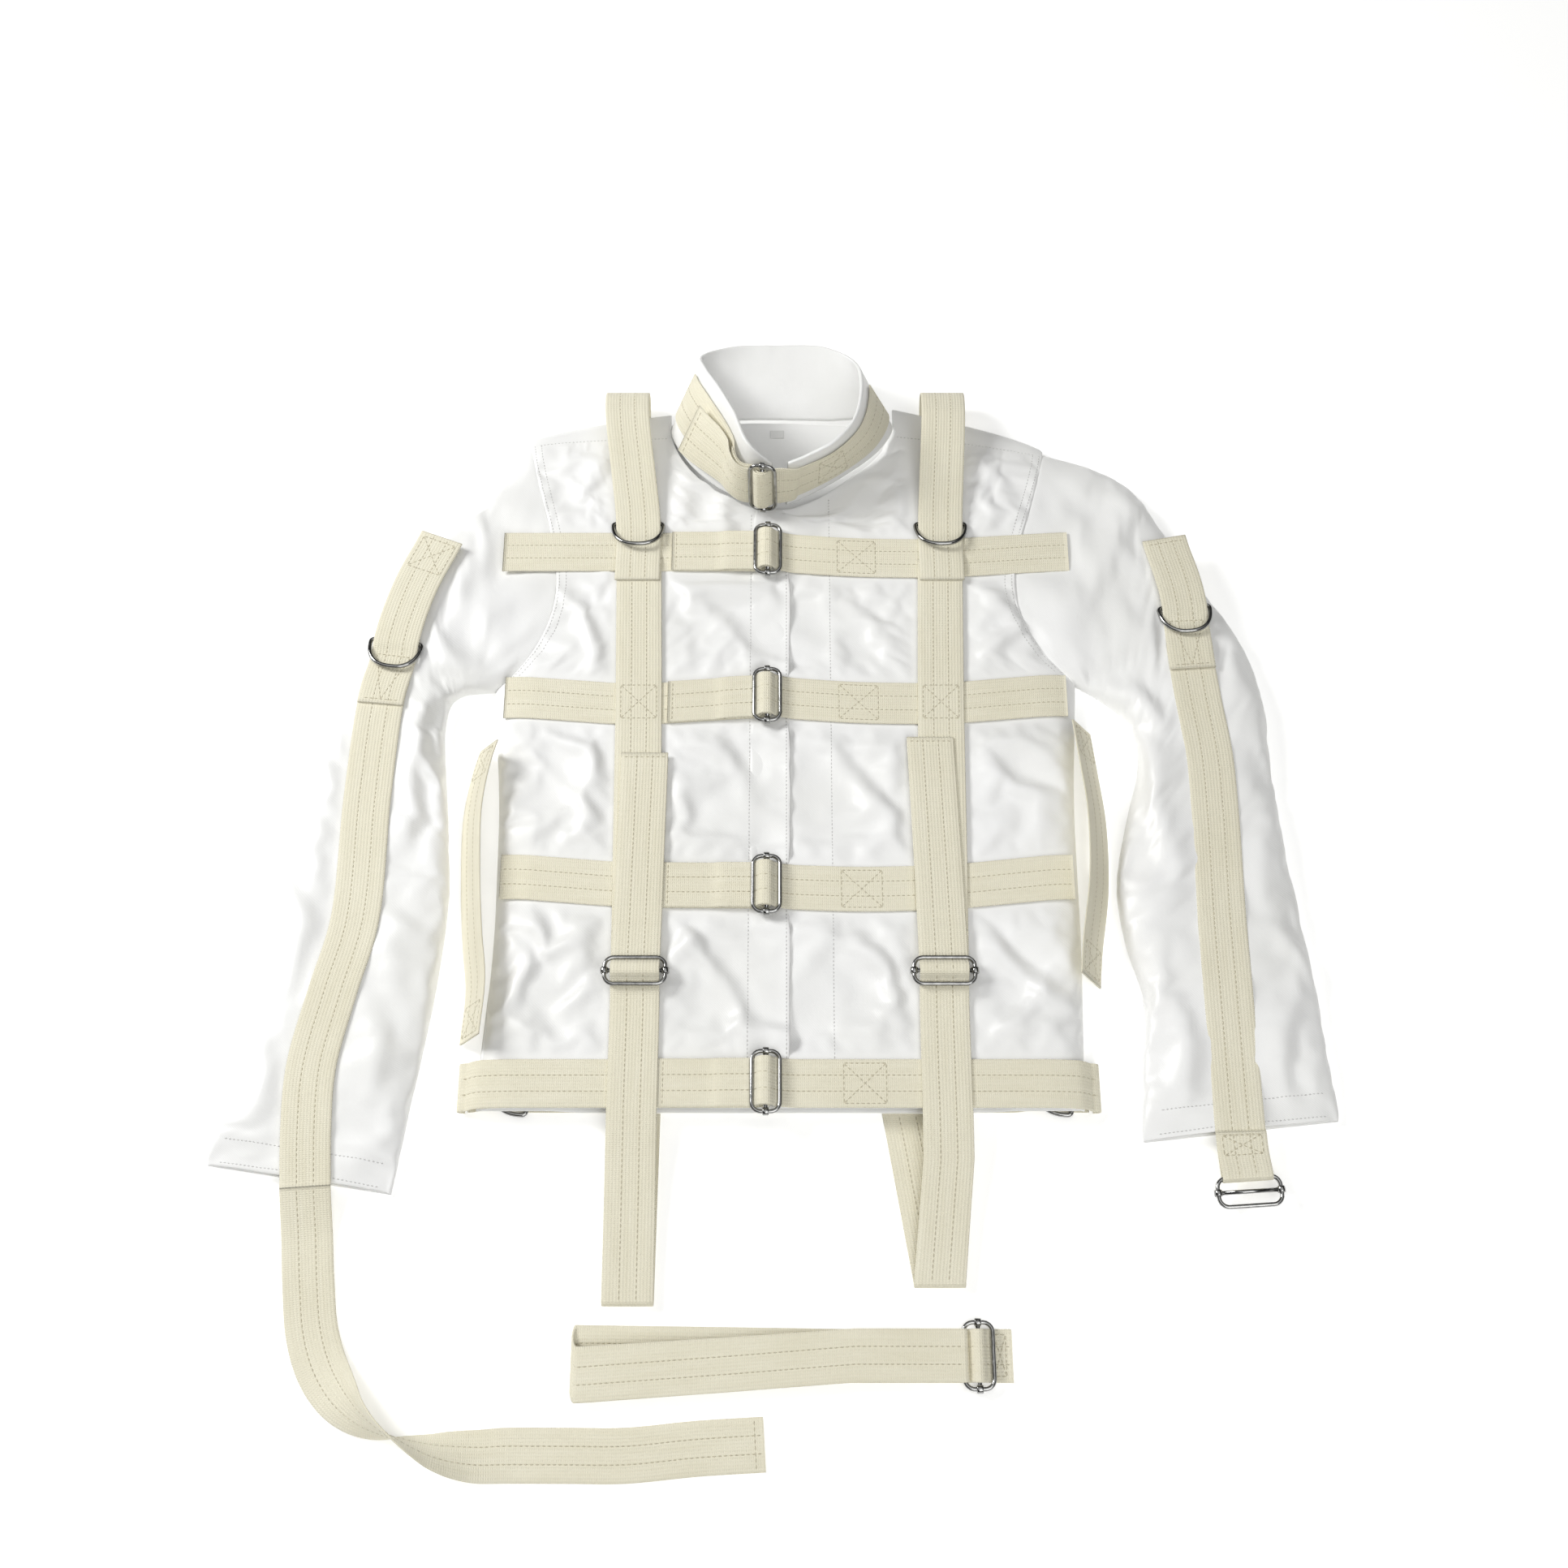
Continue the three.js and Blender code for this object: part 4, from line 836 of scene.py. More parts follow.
def harness(side, band, shoulder, tail_top, drift, fold_y, back):
    buckle_y = CROTCH_BUCKLE_Y
    top = RING_Y - BAND_TOP_BELOW_RING

    def band_lay(a, h, across):
        return (soft_along(band, a, 30) + across * WEB_WIDTH, a, h)

    fixed = Strap(folded_round(top, buckle_y, BAND_LOW), band_lay)
    sewing = Sewing()
    sewing.rows(fixed)
    waist = [fixed.travel_at(y) for y in (124, 92)]
    sewing.box_x(fixed, *waist, side=-1)
    add_strap(f"harness_band_{side}_web", fixed, sewing)
    add_buckle(f"crotch_buckle_{side}", band_lay(buckle_y, BAND_LOW + BAR_HEIGHT, 0), (0, -1, 0), (1, 0, 0))

    threaded = threaded_over(HEM - 4, buckle_y, BAND_LOW, tail_top)
    fold = round_bar(fold_y, WEB / 2 + CROTCH_FOLD, -1, CROTCH_FOLD, math.pi / 2, -math.pi / 2)
    descent = [(HEM - 18, 18), (HEM - 40, 14), (HEM - 80, 10), (HEM - 120, 8.2)]
    under = [(y, WEB / 2) for y in steps(fold_y, HEM + 0.0, 5)[1:]]
    drift_line = [(buckle_y, 0), (tail_top, drift)]

    def crotch_lay(a, h, across):
        is_under = h < WEB + CROTCH_FOLD and a < HEM + 10
        turning = (HEM + 4, 1) if is_under else (HEM - 40, 0)
        share = along([(fold_y, 0.3), turning], a)
        x = soft_along(band, a, 30) + soft_along(drift_line, a, 10)
        return (lerp(x, back, share) + across * WEB_WIDTH, a, h)

    crotch = Strap([*threaded[::-1], *descent, *fold, *under], crotch_lay)
    sewing = Sewing()
    sewing.rows(crotch)
    sewing.path(crotch, [(4, -18), (4, 18)], -1)
    sewing.path(crotch, [(4, -18), (4, 18)], 1)
    add_strap(f"crotch_strap_{side}_web", crotch, sewing)

    over_bar = SHOULDER_BAR + RING_WIRE / 2 + GAP + WEB / 2
    on_belt = BAND_LOW + WEB / 2
    arch = [(330, WEB / 2), (370, WEB / 2), (414, WEB / 2), (425, 4), (431, 12), (430, 22), (420, 32), (400, 36.5),
            (370, 34), (335, 28), (306, 23.6)]
    ends = [(RING_Y + 3, over_bar), (RING_Y - 3, over_bar), (RING_Y - 13, on_belt), (top + 6, on_belt),
            (top - 1, on_belt + LAYER), (top - 22, on_belt + LAYER)]

    def shoulder_lay(a, h, across):
        return (soft_along([(RING_Y, shoulder[0]), (400, shoulder[1])], a, 20) - across * WEB_WIDTH, a, h)

    strap = Strap([*arch, *ends], shoulder_lay, spacing=4)
    sewing = Sewing()
    sewing.rows(strap)
    sewn = [strap.travel_at(y, last=True) for y in (RING_Y - 14, top - 18)]
    sewing.vee(strap, *sewn, side=1)
    sewing.path(strap, [(sewn[1], -15), (sewn[1], 15)], 1)
    add_strap(f"shoulder_strap_{side}_web", strap, sewing)
    rim = ring_tilt(SHOULDER_BAR, BAND_LOW + WEB)
    centre = (shoulder_lay(RING_Y, 0, 0)[0], RING_Y, SHOULDER_BAR)
    add_wire(f"shoulder_ring_{side}", ring_wire(), centre, (1, 0, 0), (0, 1, -(rim - SHOULDER_BAR) / RING_DEPTH))


for band_side, facts in BANDS.items():
    harness(band_side, **facts)

# ---- Sleeve straps ----
SLEEVE_ROUTES = {
    "left": [(-300, 272), (-318, 225), (-329, 180), (-335, 142), (-341, 108), (-345, 18), (-346, -96), (-358, -155),
             (-370, -218), (-370, -269), (-367, -313)],
    "right": [(347, 271), (353, 239), (358, 208), (360, 180), (361, 150), (364, 110), (369, 55), (369, 2),
              (366, -100), (366, -196), (367, -275), (369, -306)],
}
SLEEVE_RINGS = {"left": 112, "right": 72}
LOOP_END = 62
BAND_START = 36
CUFF_FALL = {"left": [(0, 0.95), (57, 0.4), (155, 0)], "right": [(0, 1.4), (39, 0.98), (165, 0)]}


def sleeve_straps(side):
    route = Line(SLEEVE_ROUTES[side])

    def lay(a, h, across):
        spot, way = route.spot(a), route.way(a)
        over = a - min(route.length, max(0, a))
        fall = SLEEVE_STRAP_LOW - (SLEEVE_TOP - CUFF_TOP) * soft_along(CUFF_FALL[side], max(0, route.length - a), 8)
        off = across * WEB_WIDTH
        return (spot[0] + way[0] * over - way[1] * off, spot[1] + way[1] * over + way[0] * off, fall + h)

    bar = SLEEVE_RINGS[side]
    over_bar = RING_WIRE + GAP + WEB / 2
    band_at = bar + BAND_START
    profile = [(0, WEB / 2), (14, WEB / 2), (bar - 32, 5), (bar - 16, 5.6), (bar - 3, over_bar), (bar + 3, over_bar),
               (bar + 12, WEB / 2), (band_at - 7, WEB / 2), (band_at, LAYER + WEB / 2), (bar + LOOP_END, LAYER + WEB / 2)]
    loop = Strap(profile, lay, spacing=4)
    sewing = Sewing()
    sewing.rows(loop)
    sewn = [loop.travel_at(a, last=True) for a in (bar + 14, bar + LOOP_END - 4)]
    sewing.vee(loop, *sewn, side=1)
    sewing.path(loop, [(sewn[1], -15), (sewn[1], 15)], 1)
    if side == "left":
        sewing.box_x(loop, 5, 38, side=1)
    else:
        sewing.path(loop, [(5, -16), (5, 16)], 1)
    add_strap(f"sleeve_loop_{side}_web", loop, sewing)
    tilt = (ring_tilt(RING_WIRE / 2, WEB) - RING_WIRE / 2) / RING_DEPTH
    way = route.way(bar)
    add_wire(f"sleeve_ring_{side}", ring_wire(), lay(bar, RING_WIRE / 2, 0), (-way[1], way[0], 0), (-way[0], -way[1], -tilt))

    start = band_at + 1
    if side == "left":
        band = Strap([(a, WEB / 2) for a in steps(start, route.length + 1, 18)], lay)
        sewing = Sewing()
        sewing.rows(band)
        add_strap("sleeve_band_left_web", band, sewing)
        return
    # The right band ends folded round the side bar of a slide buckle at the cuff.
    end = route.length
    mid = WEB / 2
    turn = round_bar(end, mid + WRAP, 1, WRAP, -math.pi / 2, math.pi / 2)
    tail = [(end - WIRE, mid + 2 * WRAP), (end - WIRE - 14, mid + LAYER), (end - SEWN_FOLD, mid + LAYER)]
    band = Strap([*[(a, mid) for a in steps(start, end, 18)[:-1]], *turn, *tail], lay)
    sewing = Sewing()
    sewing.rows(band)
    sewn = [band.travel_at(end - WIRE - 14, last=True), band.travel_at(end - SEWN_FOLD + 3, last=True)]
    sewing.box_x(band, *sewn, side=-1)
    add_strap("sleeve_band_right_web", band, sewing)
    way = route.way(end)
    add_buckle("cuff_buckle", lay(end + BUCKLE_DEPTH / 2, BAR_ON_WEB, 0), (way[0], way[1], 0), (-way[1], way[0], 0))


for sleeve_side in SLEEVE_ROUTES:
    sleeve_straps(sleeve_side)

# ---- Side loops ----
SIDE_LOOPS = {
    "left": [(-246, 66), (-251, 45), (-256, 5), (-254, -55), (-249, -110), (-244, -150), (-246, -196)],
    "right": [(262, 84), (266, 45), (270, 0), (268, -60), (259, -118), (256, -146)],
}
LEAN = math.pi / 3


def side_loop(side):
    route = Line(SIDE_LOOPS[side])
    inwards = 1 if side == "left" else -1
    rise = WEB_WIDTH / 2 * math.sin(LEAN) + WEB

    def lay(a, h, across):
        """Leans the strap's width from the floor against the body."""
        spot, way = route.spot(a), route.way(a)
        reach = across * WEB_WIDTH
        flat = inwards * (reach * math.cos(LEAN) + h * math.sin(LEAN))
        away = math.copysign(flat, flat * -way[1])
        height = rise + reach * math.sin(LEAN) - h * math.cos(LEAN)
        return (spot[0] - way[1] * away, spot[1] + way[0] * away, height)

    strap = Strap([(a, 0) for a in steps(0, route.length, 30)], lay)
    sewing = Sewing()
    sewing.rows(strap)
    sewing.box_x(strap, 4, 30, side=-1)
    sewing.box_x(strap, strap.length - 30, strap.length - 4, side=-1)
    add_strap(f"side_loop_{side}_web", strap, sewing)


for loop_side in SIDE_LOOPS:
    side_loop(loop_side)

# ---- Loose belt on the floor ----
LOOSE_BUCKLE_X = 154
LOOSE_FOLD_X = -150
LOOSE_END_X = 180
LOOSE_LOW_Y, LOOSE_HIGH_Y, LOOSE_FOLD_Y = -440.5, -441.5, -457
LOOSE_FOLD_RADIUS = 4.2


def loose_belt():
    height = LAYER + BAR_ON_WEB
    near = LOOSE_BUCKLE_X - BUCKLE_DEPTH / 2
    far = LOOSE_BUCKLE_X + BUCKLE_DEPTH / 2
    over = height + WRAP + GAP
    mid = WEB / 2
    profile = [(LOOSE_END_X, mid), (far + 3, mid), (far - 4, 2.2), (LOOSE_BUCKLE_X + 3, over), (LOOSE_BUCKLE_X - 3, over),
               (near + 4, 2.2), (near - 3, mid)]
    profile += [(x, mid) for x in steps(near - 3, LOOSE_FOLD_X, 12)[1:]]
    profile += round_bar(LOOSE_FOLD_X, mid + LOOSE_FOLD_RADIUS, -1, LOOSE_FOLD_RADIUS, -math.pi / 2, math.pi / 2)[1:]
    profile += [(x, mid + 2 * LOOSE_FOLD_RADIUS) for x in steps(LOOSE_FOLD_X, near - 60, 8)[1:]]
    profile += [(near - 6, height + WRAP)]
    profile += round_bar(near, height, 1, WRAP, math.pi / 2, -math.pi / 2)
    profile += [(near - 10, LAYER + mid), (near - 42, LAYER + mid)]

    def lay(a, h, across):
        turned = along([(LOOSE_FOLD_X, 1), (-30, 0.45), (60, 0)], a)
        upper = along([(WEB, 0), (6 * WEB, 1)], h)
        low = LOOSE_LOW_Y + 3 * turned
        return (a, lerp(low, lerp(LOOSE_HIGH_Y, LOOSE_FOLD_Y, turned), upper) + across * WEB_WIDTH, h)

    strap = Strap(profile, lay)
    sewing = Sewing()
    sewing.rows(strap)
    sewing.box_x(strap, 5, 14, side=-1)
    add_strap("loose_belt_web", strap, sewing)
    centre = (LOOSE_BUCKLE_X, (LOOSE_LOW_Y + LOOSE_HIGH_Y) / 2, height)
    add_buckle("loose_belt_buckle", centre, (1, 0, 0), (0, 1, 0))


loose_belt()

# ---- Collar ----
COLLAR_BASE = [(-2, 309, 18), (-28, 314, 18), (-64, 337, 17.6), (-88, 367, 16), (-97, 393, 13), (-85, 409, 8),
               (-45, 411, 5), (0, 411, 5), (50, 410, 5), (92, 409, 8), (106, 397, 13), (93, 370, 16), (58, 340, 17.6),
               (22, 317, 18), (8, 310, 18)]
COLLAR_TOP = [(-4, 322, 66), (-25, 334, 82), (-38, 371, 78), (-52, 403, 70), (-64, 432, 56), (-69, 455, 45),
              (-44, 471, 37), (0, 475, 34), (44, 471, 37), (70, 452, 42), (76, 420, 56), (68, 362, 76), (49, 336, 80),
              (30, 328, 74), (10, 323, 67)]
COLLAR_THICK = 2.2
FRONT_GAP = 8
STRAP_RISE = 0.52
COLLAR_HEIGHT = 64
COLLAR_GAP = 1.2
COLLAR_BUCKLE = 12
COLLAR_FLAT = [(16, 1), (40, 0)]
COLLAR_FIXED_END = 150
COLLAR_THREADED_END = -150
COLLAR_TAIL_END = 98
base_line = Line(COLLAR_BASE)
top_line = Line(COLLAR_TOP)


def collar_point(share, up, off):
    """A point of the collar: share along it, up from its base, `off` outwards."""
    share = min(1, max(0, share))
    spot = lambda t: lerp(base_line.at(t), top_line.at(t), up)
    step = 0.01
    way = unit(spot(min(1, share + step)) - spot(max(0, share - step)))
    rise = unit(top_line.at(share) - base_line.at(share))
    return spot(share) - np.cross(rise, way) * off * COLLAR_OUTWARDS


COLLAR_OUTWARDS = 1
neck_middle = np.array((5, 385, 40))
if np.linalg.norm(collar_point(0.2, 0.5, 1) - neck_middle) < np.linalg.norm(collar_point(0.2, 0.5, 0) - neck_middle):
    COLLAR_OUTWARDS = -1


def on_collar(a, h, across):
    length = a if a > -FRONT_GAP / 2 else base_line.length + a + FRONT_GAP
    up = STRAP_RISE + across * WEB_WIDTH / COLLAR_HEIGHT
    return collar_point(length / base_line.length, up, COLLAR_THICK + COLLAR_GAP + h)


buckle_spot = on_collar(COLLAR_BUCKLE, 0, 0)
buckle_up = unit(on_collar(COLLAR_BUCKLE, 0, 0.4) - on_collar(COLLAR_BUCKLE, 0, -0.4))
buckle_out = unit(on_collar(COLLAR_BUCKLE, 1, 0) - buckle_spot)
buckle_along = unit(np.cross(buckle_up, buckle_out))
if buckle_along[0] > 0:
    buckle_along = -buckle_along
TAIL_FLARE = [(20, 0), (60, 3), (98, 9)]
TAIL_DROOP = 0.018  # of its width, for each mm that it stands off


def collar_lay(a, h, across):
    flat = buckle_spot + buckle_along * (a - COLLAR_BUCKLE) + buckle_up * across * WEB_WIDTH + buckle_out * h
    return lerp(on_collar(a, h, across), flat, along(COLLAR_FLAT, abs(a - COLLAR_BUCKLE)))


def tail_collar_lay(a, h, across):
    stand_off = soft_along(TAIL_FLARE, a, 14)
    return collar_lay(a, h + stand_off, across - TAIL_DROOP * stand_off)


def collar_straps():
    fixed = Strap(folded_round(COLLAR_FIXED_END, COLLAR_BUCKLE, 0), collar_lay)
    sewing = Sewing()
    sewing.rows(fixed)
    add_strap("collar_strap_anchor_web", fixed, sewing)
    threaded = Strap(threaded_over(COLLAR_THREADED_END, COLLAR_BUCKLE, 0, COLLAR_TAIL_END), tail_collar_lay)
    sewing = Sewing()
    sewing.rows(threaded)
    spots = [threaded.travel_at(a) for a in (-84, -56)]
    for side in (-1, 1):
        sewing.box_x(threaded, *spots, side=side)
        sewing.path(threaded, [(threaded.length - 5, -18), (threaded.length - 5, 18)], side)
    add_strap("collar_strap_web", threaded, sewing)
    add_buckle("collar_buckle", collar_lay(COLLAR_BUCKLE, BAR_HEIGHT, 0), buckle_along, buckle_up)


collar_straps()


# ---- Cloth ----
def fold_field(points, folds):
    """Heights that folds add at points: each is a line, its height, its width and its far side's dip."""
    total = np.zeros(len(points))
    for line, height, width, dip in folds:
        line = np.array(line, float)
        lengths = np.linalg.norm(np.diff(line, axis=0), axis=1)
        whole = lengths.sum()
        best = np.full(len(points), 1e9)
        signed = np.zeros(len(points))
        share = np.zeros(len(points))
        travelled = 0
        for a, b, length in zip(line, line[1:], lengths):
            way = (b - a) / length
            from_a = points - a
            t = np.clip(from_a @ way, 0, length)
            gap = from_a - t[:, None] * way
            distance = np.linalg.norm(gap, axis=1)
            closer = distance < best
            side = np.sign(way[0] * from_a[:, 1] - way[1] * from_a[:, 0])
            best = np.where(closer, distance, best)
            signed = np.where(closer, distance * side, signed)
            share = np.where(closer, (travelled + t) / whole, share)
            travelled += length
        taper = np.sin(np.pi * np.clip(share, 0.02, 0.98)) ** 0.6
        ridge = np.exp(-((signed / width) ** 2)) - dip * np.exp(-(((signed - 1.5 * width) / width) ** 2))
        total += height * taper * ridge
    return total


def crumple(points, size, seed, squeeze=(1, 1)):
    """Soft ridges from -1 to 1 with the given size, in mm."""
    spots = [(x / size * squeeze[0], y / size * squeeze[1], seed) for x, y in points]
    return np.array([1 - 2.4 * abs(noise.noise(Vector(p))) for p in spots])


def strap_mask(points, flat=21, full=46):
    """0 under the belts and bands, 1 well away from them."""
    clear = np.ones(len(points))
    xs, ys = points[:, 0], points[:, 1]
    for route, _ in BELTS.values():
        clear = np.minimum(clear, ramp_up(np.abs(ys - along(route, xs)), flat, full))
    for facts in BANDS.values():
        clear = np.minimum(clear, ramp_up(np.abs(xs - along(facts["band"], ys)), flat, full))
    return clear


def ramp_up(values, low, high):
    t = np.clip((values - low) / (high - low), 0, 1)
    return t * t * (3 - 2 * t)


def thicken(piece, thickness=CLOTH):
    solidify = piece.modifiers.new("cloth", "SOLIDIFY")
    solidify.thickness = thickness * MM
    solidify.offset = -1
    smooth = piece.modifiers.new("smooth", "SUBSURF")
    smooth.levels = 1
    smooth.render_levels = 1


def settle(piece, pins, frames=14, growth=-0.026, cap=7.0, quality=5):
    """Lets cloth buckle a little between its pinned places, by simulation, and applies the result."""
    rest = np.array([v.co[:] for v in piece.data.vertices])
    group = piece.vertex_groups.new(name="pins")
    for index, weight in enumerate(pins):
        if weight > 0:
            group.add([index], float(weight), "REPLACE")
    cloth = piece.modifiers.new("settle", "CLOTH")
    facts = cloth.settings
    facts.quality = quality
    facts.mass = 0.25
    facts.tension_stiffness = 25
    facts.compression_stiffness = 25
    facts.shear_stiffness = 12
    facts.bending_stiffness = 1.2
    facts.vertex_group_mass = "pins"
    facts.shrink_min = growth
    facts.effector_weights.gravity = 0.03
    cloth.collision_settings.use_collision = False
    cloth.point_cache.frame_end = frames + 1
    scene = bpy.context.scene
    for number in range(1, frames + 1):
        scene.frame_set(number)
    moved = piece.evaluated_get(bpy.context.evaluated_depsgraph_get())
    spots = np.array([v.co[:] for v in moved.data.vertices])
    piece.modifiers.remove(cloth)
    scene.frame_set(1)
    shift = spots - rest
    size = np.linalg.norm(shift, axis=1)
    shift *= np.minimum(1, cap * MM / np.maximum(size, 1e-9))[:, None]
    floor_clear = np.maximum((rest + shift)[:, 2], 2 * MM)
    spots = rest + shift
    spots[:, 2] = floor_clear
    piece.data.vertices.foreach_set("co", spots.ravel())
    piece.data.update()


SIDES = {
    "left": dict(out=-1, tip=(-227, 385), pit=(-247, 125), waist=[(HEM, -240), (-110, -233), (20, -236), (125, -247)]),
    "right": dict(out=1, tip=(245, 373), pit=(261, 134), waist=[(HEM, 245), (-110, 251), (20, 252), (134, 261)]),
}
ARMHOLE_BOW = 43
CLOSING_EDGE = 11
UNDERLAP = 33
LEFT_NECK = Line([(CLOSING_EDGE, 306), (-26, 312), (-64, 334), (-89, 364), (-98, 392)])
RIGHT_NECK = Line([(CLOSING_EDGE - UNDERLAP, 308), (14, 312), (58, 336), (92, 368), (107, 396)])
BODY_ROWS, ARM_ROWS, NECK_ROWS = 6, 7, 4
SHOULDER_DROP = 6
SHOULDER_ARCH = 30


def armhole(side, t, outset=0.0):
    x, y = lerp(np.array(side["tip"]), np.array(side["pit"]), t)
    bow = ARMHOLE_BOW * max(0.0, math.sin(math.pi * t**1.6)) ** 0.8
    return np.array([x - side["out"] * bow + side["out"] * outset, y])


def outer_edge(side, row):
    """The panel's outer edge: rows 0 to 6 up the side, 6 to 13 up the armhole."""
    if row <= BODY_ROWS:
        y = lerp(HEM, side["pit"][1], row / BODY_ROWS)
        return np.array([soft_along(side["waist"], y, 30), y])
    return armhole(side, 1 - (row - BODY_ROWS) / ARM_ROWS)


def arch_at(x):
    left, right = SIDES["left"]["tip"][0], SIDES["right"]["tip"][0]
    share = np.clip((x - left) / (right - left), 0, 1)
    return SHOULDER_ARCH * math.sin(math.pi * share) ** 0.6


def row_stops():
    rows = [*steps(0, BODY_ROWS, 78)[:-1], *steps(BODY_ROWS, BODY_ROWS + ARM_ROWS, 60)]
    return np.array(rows)


def front_grid(side, closing, neck, top):
    """Rows of points from the hem to the shoulder, each from the outer edge to the inner one."""
    top_row = BODY_ROWS + ARM_ROWS
    near_edge = [0, 1, 2.2, 3.8, 6, 9, 13, 18, 24, 31]
    rows = []
    for row in row_stops():
        from_top = top_row - row
        a = outer_edge(side, row)
        if from_top <= NECK_ROWS:
            b = neck.at((NECK_ROWS - from_top) / NECK_ROWS)[:2]
        else:
            b = np.array([closing, min(a[1], neck.dense[0][1] - 4 * (from_top - NECK_ROWS))])
        width = np.linalg.norm(b - a)
        stops = [d / width for d in near_edge] + list(steps(34 / width, 1, 44))
        edge = EDGE_TOP
        if row > BODY_ROWS:
            t = 1 - (row - BODY_ROWS) / ARM_ROWS
            edge = lerp(EDGE_TOP, TORSO_TOP, math.sin(math.pi * min(1, max(0, t))) ** 0.5)
        crown = top - SHOULDER_DROP * along([(2, 0), (1, 1 / 3), (0, 1)][::-1], from_top)
        points = []
        for t in stops:
            rise = 1 - math.exp(-t * width / 8.5)
            points.append((*lerp(a, b, t), lerp(edge, crown, rise)))
        rows.append(points)
    for share in (0.35, 0.7, 1.0):
        last = rows[len(row_stops()) - 1]
        over = []
        for x, y, z in last:
            low = BACK_LOW + CLOTH + 0.6
            over.append((x, y + (arch_at(x) + 1.5) * share, lerp(z, low, share**1.8)))
        rows.append(over)
    return rows


FRONT_FOLDS = {
    "left": [
        ([(-105, -150), (-80, -120), (-64, -100)], 4.2, 7, 0.5),
        ([(-203, -84), (-186, -120), (-160, -108)], 3.2, 7, 0.6),
        ([(-215, -165), (-203, -126)], 3.0, 6, 0.5),
        ([(-177, -174), (-146, -150)], 3.0, 7, 0.5),
        ([(-170, 20), (-146, -8)], 2.6, 6, 0.6),
        ([(-85, 40), (-78, 0)], 2.6, 7, 0.5),
        ([(-205, 84), (-160, 60), (-148, 30)], 2.6, 8, 0.5),
        ([(-60, 84), (-30, 40), (-20, 0)], 2.0, 9, 0.4),
        ([(-205, 232), (-175, 200), (-150, 150)], 2.6, 9, 0.5),
        ([(-90, 225), (-50, 190), (-20, 150)], 2.0, 10, 0.4),
        ([(-80, -100), (-40, -150), (-20, -200)], 2.4, 9, 0.5),
    ],
    "right": [
        ([(40, 225), (80, 190), (110, 150)], 2.2, 10, 0.4),
        ([(185, 225), (210, 190), (235, 160)], 3.4, 8, 0.6),
        ([(170, 150), (205, 175), (235, 200)], 2.6, 8, 0.5),
        ([(40, 80), (70, 30), (105, -10)], 2.6, 9, 0.5),
        ([(170, 60), (200, 30), (238, 10)], 2.6, 9, 0.5),
        ([(60, -100), (90, -140), (108, -190)], 3.0, 8, 0.5),
        ([(165, -100), (200, -140), (236, -170)], 3.2, 8, 0.5),
        ([(170, -200), (205, -170), (240, -120)], 2.4, 8, 0.5),
    ],
}


def front_panel(side_name, closing, neck, top):
    side = SIDES[side_name]
    rows = front_grid(side, closing, neck, top)
    columns = len(rows[0])
    points = np.array([p for row in rows for p in row])
    flat = points[:, :2]
    clear = strap_mask(flat)
    edge = np.tile(np.minimum(1, np.arange(columns) / 9.0), len(rows))
    inner = np.tile(np.minimum(1, (columns - 1 - np.arange(columns)) / 3.0), len(rows))
    shoulder = ramp_up(np.repeat(np.arange(len(rows))[::-1], columns), 3, 12)
    free = clear * edge * shoulder
    lift = 1.5 * fold_field(flat, FRONT_FOLDS[side_name])
    lift += 2.2 * crumple(flat, 50, 3.1 if side_name == "left" else 8.3)
    lift += 0.6 * crumple(flat, 25, 5.7, (1, 1.5))
    points[:, 2] += free * (3.2 + lift * lerp(0.55, 1, inner))
    if side_name == "left":
        # The closing edge stands a little off the underlap between the belts.
        last = np.tile(np.exp(-(columns - 1 - np.arange(columns)) / 2.2), len(rows))
        open_places = strap_mask(flat, 22, 34) * (flat[:, 0] > CLOSING_EDGE - 40)
        points[:, 2] += 3.4 * last * open_places * (flat[:, 1] < 300)
    piece = mesh_piece(f"front_{side_name}_cloth", points, grid_faces(len(rows), columns), [WHITE],
                       f"front_{side_name}_panel")
    settle(piece, np.where(free < 0.12, 1, np.where(free < 0.4, 0.25, 0)))
    thicken(piece)
    return piece


left_front = front_panel("left", CLOSING_EDGE, LEFT_NECK, TORSO_TOP)
right_front = front_panel("right", CLOSING_EDGE - UNDERLAP, RIGHT_NECK, TORSO_TOP - LAYER)

HEM_RISE_END = [(HEM + 66, 1), (HEM + 130, 0)]
HUMP = [(-RING_DEPTH - 40, 0), (-RING_DEPTH - 20, 1), (20, 1), (42, 0)]


def hem_rise(x, y):
    return RING_RISE * along(HEM_RISE_END, y) * max(along(HUMP, x - bar) for bar in REAR_RINGS.values())


def back_panel():
    rows = []
    for row in row_stops():
        left = outer_edge(SIDES["left"], row)
        right = outer_edge(SIDES["right"], row)
        near_top = along([(BODY_ROWS + ARM_ROWS - 3, 0), (BODY_ROWS + ARM_ROWS, 1)], row)
        points = []
        for t in steps(0, 1, 70):
            x, y = lerp(left, right, t)
            arch = SHOULDER_ARCH * near_top * max(0.0, math.sin(math.pi * t)) ** 0.6
            points.append((x, y + arch, BACK_LOW + CLOTH + hem_rise(x, y)))
        rows.append(points)
    points = np.array([p for row in rows for p in row])
    points[:, 2] += 0.35 * crumple(points[:, :2], 40, 1.3)
    piece = mesh_piece("back_cloth", points, grid_faces(len(rows), len(rows[0])), [WHITE], "back_panel")
    thicken(piece)
    return piece


back_cloth = back_panel()

